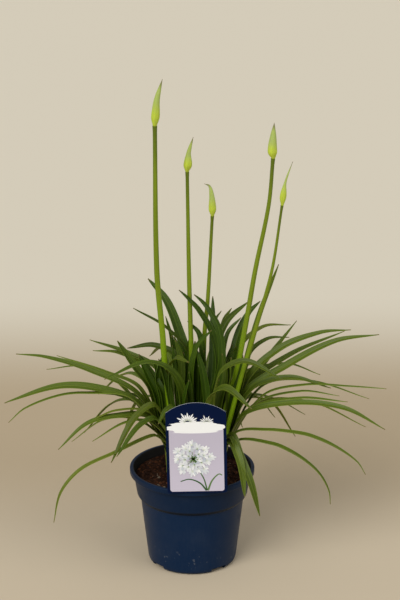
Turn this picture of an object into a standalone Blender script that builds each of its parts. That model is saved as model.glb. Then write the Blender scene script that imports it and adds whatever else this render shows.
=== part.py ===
"""An agapanthus in a round nursery pot, in bud.

Seven leafy shoots and five flower stems stand in the soil of a blue pot, with a plain plant label hooked over the rim.
The frame is +Z up, with the origin on the pot's axis where it stands. The front, with the label, faces -Y.
Lengths are in millimetres until MM turns them into metres.
"""
import math

import bmesh
import bpy
from mathutils import Matrix, Vector
from mathutils.bvhtree import BVHTree

MM = 0.001
GAP = 0.3

# Pot
POT_HEIGHT = 136.0
RIM_RADIUS = 85.0
COLLAR_RADIUS = 79.0
COLLAR_FOOT_RADIUS = 75.2
COLLAR_BOTTOM = 98.0
BODY_RADIUS = 70.2
BASE_RADIUS = 60.5
WALL = 1.5
LIP_DROP = 7.5
FLOOR_UNDER = 3.5
FLOOR_WALL = 1.7
DISC_RADIUS = 26.0
POT_STEPS = 60
NOTCH_BEARINGS = (-52.0, 38.0, 128.0, 218.0)
NOTCH_WIDTH = 23.0
NOTCH_HEIGHT = 4.3
DRAIN_HOLES = 6
DRAIN_RADIUS = 4.0
DRAIN_CIRCLE = 40.0

# Soil
SOIL_TOP = 121.0
SOIL_RINGS = 9
SOIL_STEPS = 32
SOIL_RELIEF = 2.2
SUNK = 24.0

# Shoots: the foot of each in the soil, as x and y
SHOOTS = {
    "left": (-27, 4),
    "back_left": (-12, 27),
    "middle": (2, 1),
    "back_right": (20, 27),
    "right": (36, 3),
    "front_left": (-12, -23),
    "front_right": (20, -24),
}
SHEATH_TOP = 168.0
SHEATH_FOOT_RADIUS = 8.0
SHEATH_TOP_RADIUS = 5.6
SHEATH_SIDES = 10
LEAN = 1.22

# Leaf blades
BLADE_THICKNESS = 1.5
BLADE_CHANNEL = 0.13
BLADE_BASE_SHARE = 0.6
BLADE_WIDEST = 0.45
BLADE_STEP = 22.0
BLADE_MOST_STEPS = 12
CLEARANCE = 0.45
FRONT = Vector((0, -1, 0))
DEPTH = Vector((0, 0.93, -0.36))
SHIFTS = [0] + [side * step for step in range(4, 64, 4) for side in (1, -1)]

# Each leaf: its shoot, width, turn of its face to the front in degrees, then the points it passes and its tip
LEAVES = [
    ("left", 13, 35, (-70, -6, 242), (-136, -20, 284), (-194, -30, 306), (-232, -36, 312)),
    ("left", 12, 30, (-72, -18, 236), (-126, -40, 266), (-178, -60, 276), (-246, -80, 260)),
    ("right", 13, 35, (72, 12, 256), (118, 20, 300), (172, 26, 320), (214, 30, 322)),
    ("right", 13, 35, (68, 0, 240), (124, -6, 284), (190, -12, 322), (248, -16, 332)),
    ("right", 12, 30, (70, -36, 228), (136, -62, 254), (200, -82, 254), (252, -98, 230)),
    ("back_left", 14, 50, (-6, 36, 270), (-20, 52, 320), (-36, 66, 354), (-60, 80, 378)),
    ("back_right", 13, 50, (52, 24, 274), (62, 36, 314), (76, 42, 342), (92, 50, 356)),
    ("middle", 12, 60, (38, 16, 284), (34, 24, 324), (22, 32, 352), (2, 40, 370)),
    ("front_left", 13, 50, (-12, -22, 250), (-30, -32, 290), (-62, -44, 304), (-114, -72, 290)),
    ("front_left", 12, 30, (-48, -42, 242), (-76, -62, 232), (-106, -96, 182)),
    ("front_right", 12, 40, (22, -44, 250), (44, -64, 276), (78, -96, 258)),
    ("front_right", 9, 20, (58, -44, 204), (116, -64, 216), (182, -84, 206), (228, -100, 166)),
    ("front_right", 9, 20, (62, -48, 194), (110, -62, 192), (158, -76, 168), (184, -80, 114)),
    ("front_right", 11, 30, (52, -58, 206), (64, -76, 184), (78, -92, 152), (90, -98, 106)),
    ("front_right", 11, 30, (50, -62, 200), (64, -84, 178), (70, -98, 134)),
    ("front_left", 9, 20, (-50, -56, 202), (-88, -76, 200), (-140, -96, 176), (-182, -112, 102)),
    ("left", 9, 15, (-70, -24, 230), (-126, -44, 254), (-178, -64, 264), (-240, -84, 234)),
    ("left", 8, 10, (-70, 8, 232), (-110, 10, 238), (-154, 12, 238)),
    ("left", 8, 10, (-70, 24, 240), (-118, 44, 256), (-186, 70, 270)),
    ("left", 6, 10, (-98, 36, 242), (-146, 60, 258), (-202, 90, 242)),
    ("left", 12, 45, (-54, 2, 248), (-76, 8, 278), (-100, 14, 312)),
    ("back_left", 9, 30, (-44, 40, 258), (-86, 64, 276), (-142, 100, 282)),
    ("back_left", 9, 30, (-58, 40, 260), (-100, 76, 272), (-138, 100, 266)),
    ("back_left", 9, 45, (-16, 28, 280), (-50, 36, 298), (-88, 40, 292)),
    ("back_left", 9, 45, (-2, 26, 282), (-32, 18, 328), (-78, 4, 362)),
    ("back_left", 7, 40, (-22, 40, 252), (-28, 50, 304), (-36, 56, 332)),
    ("middle", 10, 50, (30, 30, 300), (16, 48, 338), (-18, 76, 364)),
    ("middle", 10, 60, (14, 8, 286), (10, 12, 322), (-6, 20, 338)),
    ("middle", 9, 60, (-2, -6, 270), (6, -8, 312), (26, -10, 336)),
    ("middle", 11, 0, (28, 44, 272), (28, 60, 326), (28, 76, 354)),
    ("middle", 12, 0, (22, 0, 304), (26, -18, 336), (36, -48, 294)),
    ("back_right", 7, 0, (28, 60, 282), (32, 76, 320), (40, 90, 328)),
    ("back_right", 11, 50, (30, 36, 284), (46, 50, 326), (76, 70, 348)),
    ("back_right", 10, 40, (36, 56, 284), (44, 76, 320), (54, 90, 332)),
    ("back_right", 10, 40, (40, 20, 282), (48, 30, 318), (66, 40, 336)),
    ("back_right", 9, 50, (40, 2, 274), (50, 0, 296), (60, 0, 310)),
    ("back_right", 8, 30, (62, 50, 286), (96, 76, 310), (136, 100, 304)),
    ("back_right", 9, 30, (86, 60, 246), (116, 80, 280), (144, 100, 310)),
    ("right", 10, 60, (74, 10, 268), (92, 16, 346), (116, 20, 418)),
    ("right", 8, 30, (76, 30, 286), (102, 40, 306), (132, 50, 304)),
    ("right", 11, 20, (72, 24, 240), (132, 42, 282), (208, 64, 308)),
    ("back_right", 7, 5, (58, 44, 246), (126, 56, 264), (176, 64, 244)),
    ("right", 12, 30, (78, -12, 252), (130, -26, 276), (184, -42, 266)),
    ("right", 7, 10, (94, -18, 246), (150, -34, 268), (208, -50, 272), (256, -70, 276)),
    ("right", 6, 10, (94, 26, 242), (160, 32, 248), (242, 40, 218)),
    ("right", 8, 10, (84, -22, 236), (144, -42, 262), (194, -60, 262)),
    ("right", 8, 10, (78, -30, 232), (142, -56, 258), (204, -76, 260)),
    ("right", 7, 10, (86, 8, 224), (160, 10, 226), (236, 12, 188)),
    ("right", 7, 10, (74, 40, 220), (114, 66, 208), (158, 96, 172)),
    ("back_right", 8, 10, (66, 60, 220), (92, 80, 204), (116, 100, 166)),
    ("front_right", 9, 45, (34, -36, 280), (70, -50, 308), (120, -70, 288)),
    ("front_left", 10, 20, (-56, -30, 220), (-102, -50, 230), (-140, -64, 224), (-176, -80, 194)),
    ("front_left", 6, 10, (-70, -8, 206), (-118, -14, 210), (-162, -20, 180)),
    ("front_left", 6, 5, (-56, -20, 222), (-100, -30, 230), (-136, -40, 218)),
    ("front_left", 6, 5, (-54, -38, 216), (-88, -48, 220), (-132, -62, 198)),
    ("front_left", 12, 30, (-46, -50, 226), (-70, -70, 224), (-98, -108, 196)),
    ("front_left", 9, 20, (-22, -48, 242), (-34, -64, 244), (-44, -84, 232)),
    ("front_left", 12, 30, (-32, -14, 276), (-22, -28, 304), (-4, -46, 304)),
    ("front_left", 11, 40, (-16, -12, 240), (-14, -8, 290), (-22, -4, 320)),
    ("front_right", 11, 40, (20, -14, 240), (14, -10, 280), (6, -6, 308)),
    ("front_right", 10, 30, (36, -18, 236), (44, -14, 272), (40, -8, 302)),
    ("middle", 11, 60, (-4, 8, 250), (-14, 10, 292), (-24, 14, 318)),
    ("right", 10, 50, (54, -6, 236), (64, -6, 270), (68, -4, 298)),
    ("left", 10, 50, (-40, 0, 236), (-46, 0, 266), (-40, 4, 294)),
    ("back_left", 12, 0, (-22, 66, 236), (-40, 120, 262), (-62, 196, 222)),
    ("back_left", 11, 0, (-46, 58, 222), (-90, 104, 232), (-134, 158, 178)),
    ("back_left", 10, 0, (-14, 70, 216), (-16, 124, 214), (-20, 180, 142)),
    ("back_left", 9, 0, (-38, 66, 204), (-74, 112, 190), (-98, 146, 128)),
    ("back_right", 12, 0, (22, 72, 240), (34, 130, 268), (44, 208, 236)),
    ("back_right", 11, 0, (40, 66, 226), (78, 118, 240), (112, 178, 196)),
    ("back_right", 10, 0, (26, 70, 206), (52, 124, 196), (72, 170, 122)),
    ("back_right", 9, 0, (58, 58, 206), (106, 92, 196), (146, 122, 128)),
    ("left", 9, 0, (-58, 28, 212), (-106, 58, 208), (-152, 92, 146)),
]

# Flower stems: foot in the soil, points on the way up, then the radius low down and at the neck
STEMS = {
    "1": ((-20, -9), [(-37, -9, 297), (-39, -10, 329), (-46, -13, 421), (-47, -20, 617)], 3.8, 2.8),
    "2": ((-5, 13), [(-1, 13, 290), (-2, 14, 330), (-4, 16, 411), (-6, 20, 545)], 3.3, 2.3),
    "3": ((8, 15), [(14, 24, 230), (17, 28, 321), (21, 27, 364), (27, 23, 484)], 3.1, 2.1),
    "4": ((21, 11), [(58, 10, 262), (72, 14, 336), (84, 16, 411), (105, 20, 563)], 3.5, 2.5),
    "5": ((33, -12), [(63, -13, 260), (86, -15, 346), (105, -17, 422), (117, -20, 511)], 3.0, 1.7),
}
STEM_SIDES_RESOLUTION = 2
STEM_POINTS = 16

# Closed buds: the points of each one's bent axis above its neck, its widest radius, and how soon it narrows
BUDS = {
    "1": ([(-46, -20, 631), (-44, -20, 652), (-37, -20, 678)], 5.6, 0.95),
    "2": ([(-5, 20, 557), (-4, 20, 571), (2, 20, 592)], 5.6, 0.66),
    "3": ([(27, 23, 496), (26, 23, 513), (23, 23, 525), (16, 23, 528)], 5.0, 0.86),
    "4": ([(105, 20, 575), (106, 20, 595), (107, 20, 611)], 6.2, 0.95),
    "5": ([(118, -20, 522), (121, -20, 543), (130, -20, 570)], 4.3, 0.42),
}
BUD_POINTS = 12

# Label
LABEL_WIDTH = 79.3
LABEL_SIDE = 114.5
LABEL_RISE = 14.0
LABEL_THICKNESS = 0.8
LABEL_BOTTOM = 134.4
LABEL_FACE_Y = -86.0
LABEL_CENTRE_X = 7.4
LABEL_TILT = 1.2
LABEL_CORNER = 4.0
TONGUE_WIDTH = 20.0
TONGUE_ROOT = 139.0
TONGUE_TOP_Y = -75.4
TONGUE_END = (-60.0, 76.0)

LEAF_GREEN = (0.10, 0.20, 0.035, 1)
STEM_GREEN = (0.20, 0.33, 0.035, 1)
BUD_GREEN = (0.42, 0.52, 0.10, 1)
POT_BLUE = (0.012, 0.045, 0.115, 1)
SOIL_BROWN = (0.035, 0.016, 0.010, 1)
LABEL_NAVY = (0.010, 0.016, 0.055, 1)


def clear_scene():
    for found in list(bpy.data.objects):
        bpy.data.objects.remove(found)


def new_collection(name):
    made = bpy.data.collections.new(name)
    bpy.context.scene.collection.children.link(made)
    return made


def principled(name, colour, roughness):
    made = bpy.data.materials.new(name)
    made.use_nodes = True
    shader = made.node_tree.nodes["Principled BSDF"]
    shader.inputs["Base Color"].default_value = colour
    shader.inputs["Roughness"].default_value = roughness
    shader.inputs["Metallic"].default_value = 0.0
    return made


def object_of(name, mesh, collection, material=None):
    made = bpy.data.objects.new(name, mesh)
    collection.objects.link(made)
    if material:
        mesh.materials.append(material)
    return made


def evaluated_mesh(source, name, weld=True):
    """The object's evaluated mesh in world space as a new mesh, with a curve's loose caps welded."""
    bpy.context.view_layer.update()
    graph = bpy.context.evaluated_depsgraph_get()
    mesh = bpy.data.meshes.new_from_object(source.evaluated_get(graph))
    mesh.transform(source.matrix_world)
    mesh.name = name
    if weld:
        shape = bmesh.new()
        shape.from_mesh(mesh)
        bmesh.ops.remove_doubles(shape, verts=shape.verts, dist=0.000001)
        shape.to_mesh(mesh)
        shape.free()
    return mesh


def smooth_path(points, count):
    """Evenly numbered points on a smooth curve through these points."""
    knots = [Vector(point) for point in points]
    spans = [(b - a).length for a, b in zip(knots, knots[1:])]
    times = [0.0]
    for span in spans:
        times.append(times[-1] + span)
    slopes = []
    for i in range(len(knots)):
        low, high = max(i - 1, 0), min(i + 1, len(knots) - 1)
        slopes.append((knots[high] - knots[low]) / (times[high] - times[low]))
    made, span = [], 0
    for step in range(count):
        time = times[-1] * step / (count - 1)
        while span < len(spans) - 1 and time > times[span + 1]:
            span += 1
        share = (time - times[span]) / spans[span]
        square, cube = share**2, share**3
        made.append(
            knots[span] * (2 * cube - 3 * square + 1)
            + slopes[span] * spans[span] * (cube - 2 * square + share)
            + knots[span + 1] * (3 * square - 2 * cube)
            + slopes[span + 1] * spans[span] * (cube - square)
        )
    return made


# Pot, with its rolled rim, collar step, foot ring and drain holes


def pot_outline():
    """(radius, height) down the outside, under the floor with its standing disc, and back up the inside."""
    lip_foot = POT_HEIGHT - LIP_DROP
    outside = [
        (RIM_RADIUS - 0.9, POT_HEIGHT),
        (RIM_RADIUS, POT_HEIGHT - 1.0),
        (RIM_RADIUS - 0.2, lip_foot),
        (RIM_RADIUS - WALL, lip_foot),
        (RIM_RADIUS - WALL, POT_HEIGHT - WALL - 0.4),
        (COLLAR_RADIUS + 2.2, POT_HEIGHT - WALL - 0.4),
        (COLLAR_RADIUS, lip_foot - 6),
        (COLLAR_FOOT_RADIUS, COLLAR_BOTTOM + 1.5),
        (COLLAR_FOOT_RADIUS - 1.2, COLLAR_BOTTOM - 1.0),
        (BODY_RADIUS + 0.4, COLLAR_BOTTOM - 4.0),
        (BODY_RADIUS, COLLAR_BOTTOM - 6.0),
        (BASE_RADIUS, 7.0),
        (BASE_RADIUS - 1.2, 3.0),
        (BASE_RADIUS - 3.6, 0.6),
        (BASE_RADIUS - 4.6, 0),
    ]
    inside = [
        (BASE_RADIUS - 7.4, 0),
        (BASE_RADIUS - 8.0, FLOOR_UNDER),
        (DISC_RADIUS + 2.0, FLOOR_UNDER),
        (DISC_RADIUS, 0),
        (0, 0),
        (0, FLOOR_WALL),
        (DISC_RADIUS - 1.0, FLOOR_WALL),
        (DISC_RADIUS + 1.0, FLOOR_UNDER + FLOOR_WALL),
        (BASE_RADIUS - 5.0, FLOOR_UNDER + FLOOR_WALL),
        (BASE_RADIUS - 2.2, 8.5),
        (BODY_RADIUS - WALL, COLLAR_BOTTOM - 5.0),
        (BODY_RADIUS - WALL + 0.5, COLLAR_BOTTOM - 3.0),
        (COLLAR_FOOT_RADIUS - 1.2 - WALL, COLLAR_BOTTOM + 0.6),
        (COLLAR_FOOT_RADIUS - WALL, COLLAR_BOTTOM + 3.0),
        (COLLAR_RADIUS - WALL, lip_foot - 6),
        (COLLAR_RADIUS + 1.0, POT_HEIGHT),
    ]
    return outside, inside


def turned(name, outline, steps, collection):
    mesh = bpy.data.meshes.new(name)
    points = [(radius * MM, 0, height * MM) for radius, height in outline]
    edges = [(i, i + 1) for i in range(len(points) - 1)]
    if outline[0][0] > 0 and outline[-1][0] > 0:
        edges.append((len(points) - 1, 0))
    mesh.from_pydata(points, edges, [])
    made = object_of(name, mesh, collection)
    screw = made.modifiers.new("turn", "SCREW")
    screw.steps = screw.render_steps = steps
    screw.use_merge_vertices = True
    screw.merge_threshold = 0.00001
    return made


def cutter_box(size, place, collection):
    shape = bmesh.new()
    bmesh.ops.create_cube(shape, size=1)
    mesh = bpy.data.meshes.new("cutter")
    shape.to_mesh(mesh)
    shape.free()
    mesh.transform(place @ Matrix.Diagonal((*[side * MM for side in size], 1)))
    return object_of("cutter", mesh, collection)


def cutter_rod(radius, low, high, sides, collection):
    """A cylinder from low to high, two points in millimetres."""
    low, high = Vector(low), Vector(high)
    axis = high - low
    shape = bmesh.new()
    bmesh.ops.create_cone(
        shape,
        cap_ends=True,
        segments=sides,
        radius1=radius * MM,
        radius2=radius * MM,
        depth=axis.length * MM,
    )
    mesh = bpy.data.meshes.new("cutter")
    shape.to_mesh(mesh)
    shape.free()
    turn = axis.to_track_quat("Z", "Y").to_matrix().to_4x4()
    mesh.transform(Matrix.Translation((low + high) / 2 * MM) @ turn)
    return object_of("cutter", mesh, collection)


def hide(cutters):
    for cutter in cutters.objects:
        cutter.hide_render = True
        cutter.display_type = "WIRE"


def cut(target, cutters):
    boolean = target.modifiers.new("cut", "BOOLEAN")
    boolean.operation = "DIFFERENCE"
    boolean.operand_type = "COLLECTION"
    boolean.collection = cutters
    hide(cutters)


def build_pot(parts, material):
    outside, inside = pot_outline()
    pot = turned("pot", outside + inside, POT_STEPS, parts)
    cutters = new_collection("pot_cutters")
    for bearing in NOTCH_BEARINGS:
        angle = math.radians(bearing)
        turn = Matrix.Rotation(angle, 4, "Z")
        place = turn @ Matrix.Translation(Vector((0, -BASE_RADIUS, 0)) * MM)
        cutter_box((NOTCH_WIDTH, 18, 2 * NOTCH_HEIGHT), place, cutters)
    for hole in range(DRAIN_HOLES):
        angle = 2 * math.pi * hole / DRAIN_HOLES
        x, y = DRAIN_CIRCLE * math.cos(angle), DRAIN_CIRCLE * math.sin(angle)
        cutter_rod(DRAIN_RADIUS, (x, y, 0.5), (x, y, FLOOR_UNDER + 5), 12, cutters)
    cut(pot, cutters)
    mesh = evaluated_mesh(pot, "pot")
    bpy.data.objects.remove(pot)
    for cutter in list(cutters.objects):
        bpy.data.objects.remove(cutter)
    pot = object_of("pot", mesh, parts, material)
    mesh.shade_smooth()
    mesh.set_sharp_from_angle(angle=math.radians(35))
    return pot


# Soil, with holes for what stands in it


def soil_height(x, y):
    """The lumpy top of the soil, in millimetres."""
    waves = (
        math.sin(0.21 * x + 0.9) * math.cos(0.17 * y - 0.4)
        + 0.7 * math.sin(0.43 * x - 0.31 * y + 2.0)
        + 0.5 * math.cos(0.63 * y + 0.27 * x)
    )
    return SOIL_TOP + SOIL_RELIEF * 0.5 * waves


def build_soil(parts, material, holes):
    side_gap = GAP + 0.2
    top_radius = COLLAR_RADIUS - WALL - 0.9
    top = [(top_radius * ring / SOIL_RINGS, SOIL_TOP) for ring in range(SOIL_RINGS + 1)]
    side = [
        (COLLAR_FOOT_RADIUS - WALL - side_gap, COLLAR_BOTTOM + 3.0),
        (COLLAR_FOOT_RADIUS - 1.2 - WALL - side_gap - 0.4, COLLAR_BOTTOM + 1.4),
        (BODY_RADIUS - WALL - side_gap, COLLAR_BOTTOM - 3.5),
        (BASE_RADIUS - 2.2 - side_gap, 9.0),
        (BASE_RADIUS - 5.6, FLOOR_UNDER + FLOOR_WALL + GAP),
        (DISC_RADIUS + 0.8, FLOOR_UNDER + FLOOR_WALL + GAP),
        (DISC_RADIUS - 1.6, FLOOR_WALL + GAP),
        (0, FLOOR_WALL + GAP),
    ]
    soil = turned("soil", top + side, SOIL_STEPS, parts)
    mesh = evaluated_mesh(soil, "soil")
    bpy.data.objects.remove(soil)
    for vertex in mesh.vertices:
        x, y, z = vertex.co / MM
        if z > SOIL_TOP - 1:
            edge = min(1.0, (top_radius - math.hypot(x, y)) / 8)
            vertex.co.z = (SOIL_TOP + edge * (soil_height(x, y) - SOIL_TOP)) * MM
    soil = object_of("soil", mesh, parts, material)
    cut(soil, holes)
    return soil


# Leaf blades


def fill_voids(mesh):
    """Keep the outer surface only, so that voids closed in between crossing leaves are filled."""
    shape = bmesh.new()
    shape.from_mesh(mesh)
    unseen, islands = set(shape.verts), []
    while unseen:
        island, edge = set(), {unseen.pop()}
        while edge:
            vertex = edge.pop()
            island.add(vertex)
            near = {link.other_vert(vertex) for link in vertex.link_edges} & unseen
            unseen -= near
            edge |= near
        islands.append(island)
    islands.sort(key=len)
    for island in islands[:-1]:
        bmesh.ops.delete(shape, geom=list(island), context="VERTS")
    shape.to_mesh(mesh)
    shape.free()


def joined(body, others, parts, material):
    """The body and everything in the other collection as one body."""
    name = body.name
    union = body.modifiers.new("join", "BOOLEAN")
    union.operation = "UNION"
    union.solver = "MANIFOLD"
    union.operand_type = "COLLECTION"
    union.collection = others
    mesh = evaluated_mesh(body, name, weld=False)
    mesh.materials.clear()
    fill_voids(mesh)
    bpy.data.objects.remove(body)
    for found in list(others.objects):
        bpy.data.objects.remove(found)
    made = object_of(name, mesh, parts, material)
    mesh.shade_smooth()
    mesh.set_sharp_from_angle(angle=math.radians(40))
    return made


def ramp(share):
    share = max(0.0, min(1.0, share))
    return share * share * (3 - 2 * share)


def blade_width(share, width):
    """The blade's width at a share of its length: narrow in the sheath, widest near the middle, pointed."""
    if share < BLADE_WIDEST:
        return width * (BLADE_BASE_SHARE + (1 - BLADE_BASE_SHARE) * ramp(share / BLADE_WIDEST))
    return width * (1 - ((share - BLADE_WIDEST) / (1 - BLADE_WIDEST)) ** 2.8)


def blade_frames(path, turn):
    """At each point of the path, its side and its upper normal, turned to the front."""
    run = path[-1] - path[0]
    heading = Vector((run.x, run.y, 0)).normalized()
    across = Vector((0, 0, 1)).cross(heading)
    frames = []
    for i in range(len(path)):
        along = (path[min(i + 1, len(path) - 1)] - path[max(i - 1, 0)]).normalized()
        side = (across - along * across.dot(along)).normalized()
        upper = along.cross(side)
        front = FRONT - along * FRONT.dot(along)
        angle = math.radians(turn) * ramp(i / (len(path) - 1) / 0.4)
        upper = (upper * math.cos(angle) + front * math.sin(angle)).normalized()
        frames.append((upper.cross(along), upper))
    return frames


def blade(path, width, turn, spare=0.0):
    """Points and faces of a channelled blade along the path. spare thickens it all round."""
    points, faces = [], []
    last = len(path) - 1
    for i, (side, upper) in enumerate(blade_frames(path, turn)):
        share = i / last
        if i == last:
            points.append(path[i] + (path[i] - path[i - 1]).normalized() * spare)
            continue
        half = blade_width(share, width) / 2 + spare
        thick = BLADE_THICKNESS * (1 - 0.45 * share) / 2 + spare
        keel = path[i] - upper * BLADE_CHANNEL * half
        rise = upper * BLADE_CHANNEL * half
        points += [keel + rise + side * half, keel + upper * thick]
        points += [keel + rise - side * half, keel - upper * thick]
    for i in range(last - 1):
        a, b = 4 * i, 4 * i + 4
        for j in range(4):
            k = (j + 1) % 4
            if j in (0, 3):
                faces += [(a + j, b + j, a + k), (a + k, b + j, b + k)]
            else:
                faces += [(a + j, b + j, b + k), (a + j, b + k, a + k)]
    end, tip = 4 * (last - 1), 4 * last
    faces += [(end + j, tip, end + (j + 1) % 4) for j in range(4)]
    faces += [(0, 1, 2), (0, 2, 3)]
    return points, faces


def tree_of(points, faces):
    return BVHTree.FromPolygons([tuple(point) for point in points], faces)


def tree_of_object(source):
    mesh = evaluated_mesh(source, "test")
    points = [vertex.co / MM for vertex in mesh.vertices]
    faces = [tuple(face.vertices) for face in mesh.polygons]
    bpy.data.meshes.remove(mesh)
    return tree_of(points, faces)


def leaf_path(shoot, way, shift):
    """The line of a leaf from inside its sheath to its tip, its outer points moved shift deeper."""
    x, y = SHOOTS[shoot]
    neck = Vector((x * LEAN, y * LEAN, SHEATH_TOP - 6))
    reach = Vector(way[0]) - neck
    outward = Vector((reach.x, reach.y, 0)).normalized()
    root = Vector((x * 1.06, y * 1.06, SHEATH_TOP - 30 + (way[0][0] + way[0][1]) % 7))
    points = [root + outward * 1.2, neck + outward * 2.4]
    for i, point in enumerate(way):
        points.append(Vector(point) + DEPTH * shift * (0.45 if i == 0 else 1.0))
    length = sum((b - a).length for a, b in zip(points, points[1:]))
    steps = min(BLADE_MOST_STEPS, max(7, round(length / BLADE_STEP)))
    return smooth_path(points, steps + 1)


def bend_clear(leaf, placed):
    """The leaf's path, bent just far enough back or forward to clear every other node, or None."""
    shoot, width, turn, *way = leaf
    for shift in SHIFTS:
        path = leaf_path(shoot, way, shift)
        test = tree_of(*blade(path, width, turn, CLEARANCE))
        if not any(test.overlap(tree) for node, tree in placed if node != shoot):
            return path
    return None


def mesh_of(name, points, faces):
    mesh = bpy.data.meshes.new(name)
    mesh.from_pydata([tuple(Vector(point) * MM) for point in points], [], faces)
    shape = bmesh.new()
    shape.from_mesh(mesh)
    bmesh.ops.recalc_face_normals(shape, faces=shape.faces)
    shape.to_mesh(mesh)
    shape.free()
    return mesh


def sheath_mesh(shoot):
    """The leaf bases wrapped round each other, from below the soil up to the neck, drawn to a blunt top."""
    x, y = SHOOTS[shoot]
    foot = Vector((x, y, SOIL_TOP - SUNK))
    ground = Vector((x, y, SOIL_TOP + 6))
    top = Vector((x * LEAN, y * LEAN, SHEATH_TOP))
    rings = [
        (foot, SHEATH_FOOT_RADIUS * 0.8),
        (ground, SHEATH_FOOT_RADIUS),
        (ground.lerp(top, 0.55), SHEATH_TOP_RADIUS + 1.2),
        (top - Vector((0, 0, 7)), SHEATH_TOP_RADIUS),
        (top, SHEATH_TOP_RADIUS * 0.45),
    ]
    points, faces = [], []
    for centre, radius in rings:
        for i in range(SHEATH_SIDES):
            angle = 2 * math.pi * i / SHEATH_SIDES
            points.append(centre + radius * Vector((math.cos(angle), math.sin(angle), 0)))
    for ring in range(len(rings) - 1):
        for i in range(SHEATH_SIDES):
            j = (i + 1) % SHEATH_SIDES
            a, b = ring * SHEATH_SIDES, (ring + 1) * SHEATH_SIDES
            faces.append((a + i, a + j, b + j, b + i))
    faces.append(tuple(reversed(range(SHEATH_SIDES))))
    faces.append(tuple(range((len(rings) - 1) * SHEATH_SIDES, len(rings) * SHEATH_SIDES)))
    return points, faces


def build_shoot(shoot, paths, parts, material):
    """The sheath and its leaves as one body."""
    name = f"shoot_{shoot}"
    body = object_of(name, mesh_of(name, *sheath_mesh(shoot)), parts)
    blades = new_collection(f"{name}_blades")
    for path, width, turn in paths:
        object_of("blade", mesh_of("blade", *blade(path, width, turn)), blades)
    return joined(body, blades, parts, material)


# Flower stems and their closed buds


def tube(name, path, radii, collection, material=None):
    curve = bpy.data.curves.new(name, "CURVE")
    curve.dimensions = "3D"
    curve.bevel_depth = MM
    curve.bevel_resolution = STEM_SIDES_RESOLUTION
    curve.use_fill_caps = True
    curve.twist_mode = "MINIMUM"
    spline = curve.splines.new("POLY")
    spline.points.add(len(path) - 1)
    for point, place, radius in zip(spline.points, path, radii):
        point.co = (*(Vector(place) * MM), 1)
        point.radius = radius
    made = bpy.data.objects.new(name, curve)
    collection.objects.link(made)
    mesh = evaluated_mesh(made, name)
    bpy.data.objects.remove(made)
    made = object_of(name, mesh, collection, material)
    mesh.shade_smooth()
    mesh.set_sharp_from_angle(angle=math.radians(50))
    return made


def stem_path(stem):
    (x, y), way, low, neck = STEMS[stem]
    points = [(x, y, SOIL_TOP - SUNK), (x, y, SOIL_TOP + 4), *way]
    path = smooth_path(points, STEM_POINTS)
    radii = [low + (neck - low) * ramp(i / (STEM_POINTS - 1)) for i in range(STEM_POINTS)]
    return path, radii


def bud_path(stem):
    """The bud's axis and radii: round and full just above the neck, then drawn out to a bent point."""
    way, widest, narrowing = BUDS[stem]
    neck_radius = STEMS[stem][3]
    below, neck = stem_path(stem)[0][-2:]
    seat = neck + (neck - below).normalized() * GAP
    lead = seat + (neck - below).normalized() * 2
    path = smooth_path([seat, lead, *way], BUD_POINTS)
    radii = []
    for i in range(BUD_POINTS):
        share = i / (BUD_POINTS - 1)
        if share < 0.2:
            radii.append(neck_radius + (widest - neck_radius) * ramp(share / 0.2) ** 0.7)
        else:
            beyond = (share - 0.2) / 0.8
            slim = narrowing + (1 - narrowing) * (1 - ramp(beyond / 0.45))
            radii.append(max(0.35, widest * slim * (1 - beyond**2.2)))
    return path, radii


# Label, hooked over the rim by its tongue


def label_half_width(rise):
    """Half the card's width at this height above its bottom edge."""
    if rise > LABEL_SIDE:
        radius = ((LABEL_WIDTH / 2) ** 2 + LABEL_RISE**2) / (2 * LABEL_RISE)
        drop = rise - LABEL_SIDE - LABEL_RISE + radius
        return math.sqrt(max(0.0, radius**2 - drop**2))
    corner = max(0.0, LABEL_CORNER - rise)
    return LABEL_WIDTH / 2 - LABEL_CORNER + math.sqrt(LABEL_CORNER**2 - corner**2)


def sheet(name, rows, thickness, collection, tilt=0.0):
    """A closed ribbon of the rows' half widths, bent through their y and z, with an even thickness."""
    points, faces = [], []
    turn = Matrix.Rotation(math.radians(-tilt), 3, "Y")
    hub = Vector((LABEL_CENTRE_X, 0, LABEL_BOTTOM))
    for half, y, z in rows:
        for x in (-half, half):
            points.append(hub + turn @ Vector((x, y, z - LABEL_BOTTOM)))
    for i in range(len(rows) - 1):
        faces.append((2 * i, 2 * i + 1, 2 * i + 3, 2 * i + 2))
    made = object_of(name, mesh_of(name, points, faces), collection)
    wall = made.modifiers.new("wall", "SOLIDIFY")
    wall.thickness = thickness * MM
    wall.offset = 0.0
    mesh = evaluated_mesh(made, name)
    bpy.data.objects.remove(made)
    return object_of(name, mesh, collection)


def tongue_rows(spare=0.0):
    """(half width, y, z) from the back of the card over the rim and down into the soil."""
    half = TONGUE_WIDTH / 2 + spare
    end_y, end_z = TONGUE_END
    return [
        (half, LABEL_FACE_Y, TONGUE_ROOT),
        (half, TONGUE_TOP_Y - 2.2, TONGUE_ROOT - 0.4),
        (half, TONGUE_TOP_Y, TONGUE_ROOT - 3.0),
        (half, end_y, end_z + 8),
        (3.0 + spare, end_y, end_z),
    ]


def build_label(parts, material):
    rows = []
    arch = [LABEL_SIDE + LABEL_RISE * share for share in (0.995, 0.93, 0.8, 0.6, 0.35, 0.15, 0)]
    for rise in [*arch, 60, 25, LABEL_CORNER, 1.2, 0]:
        rows.append((label_half_width(rise), LABEL_FACE_Y, LABEL_BOTTOM + rise))
    tongue = new_collection("label_tongue")
    card = sheet("label", rows, LABEL_THICKNESS, parts, LABEL_TILT)
    sheet("tongue", tongue_rows(), LABEL_THICKNESS, tongue)
    return joined(card, tongue, parts, material)


# Assembly


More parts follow.
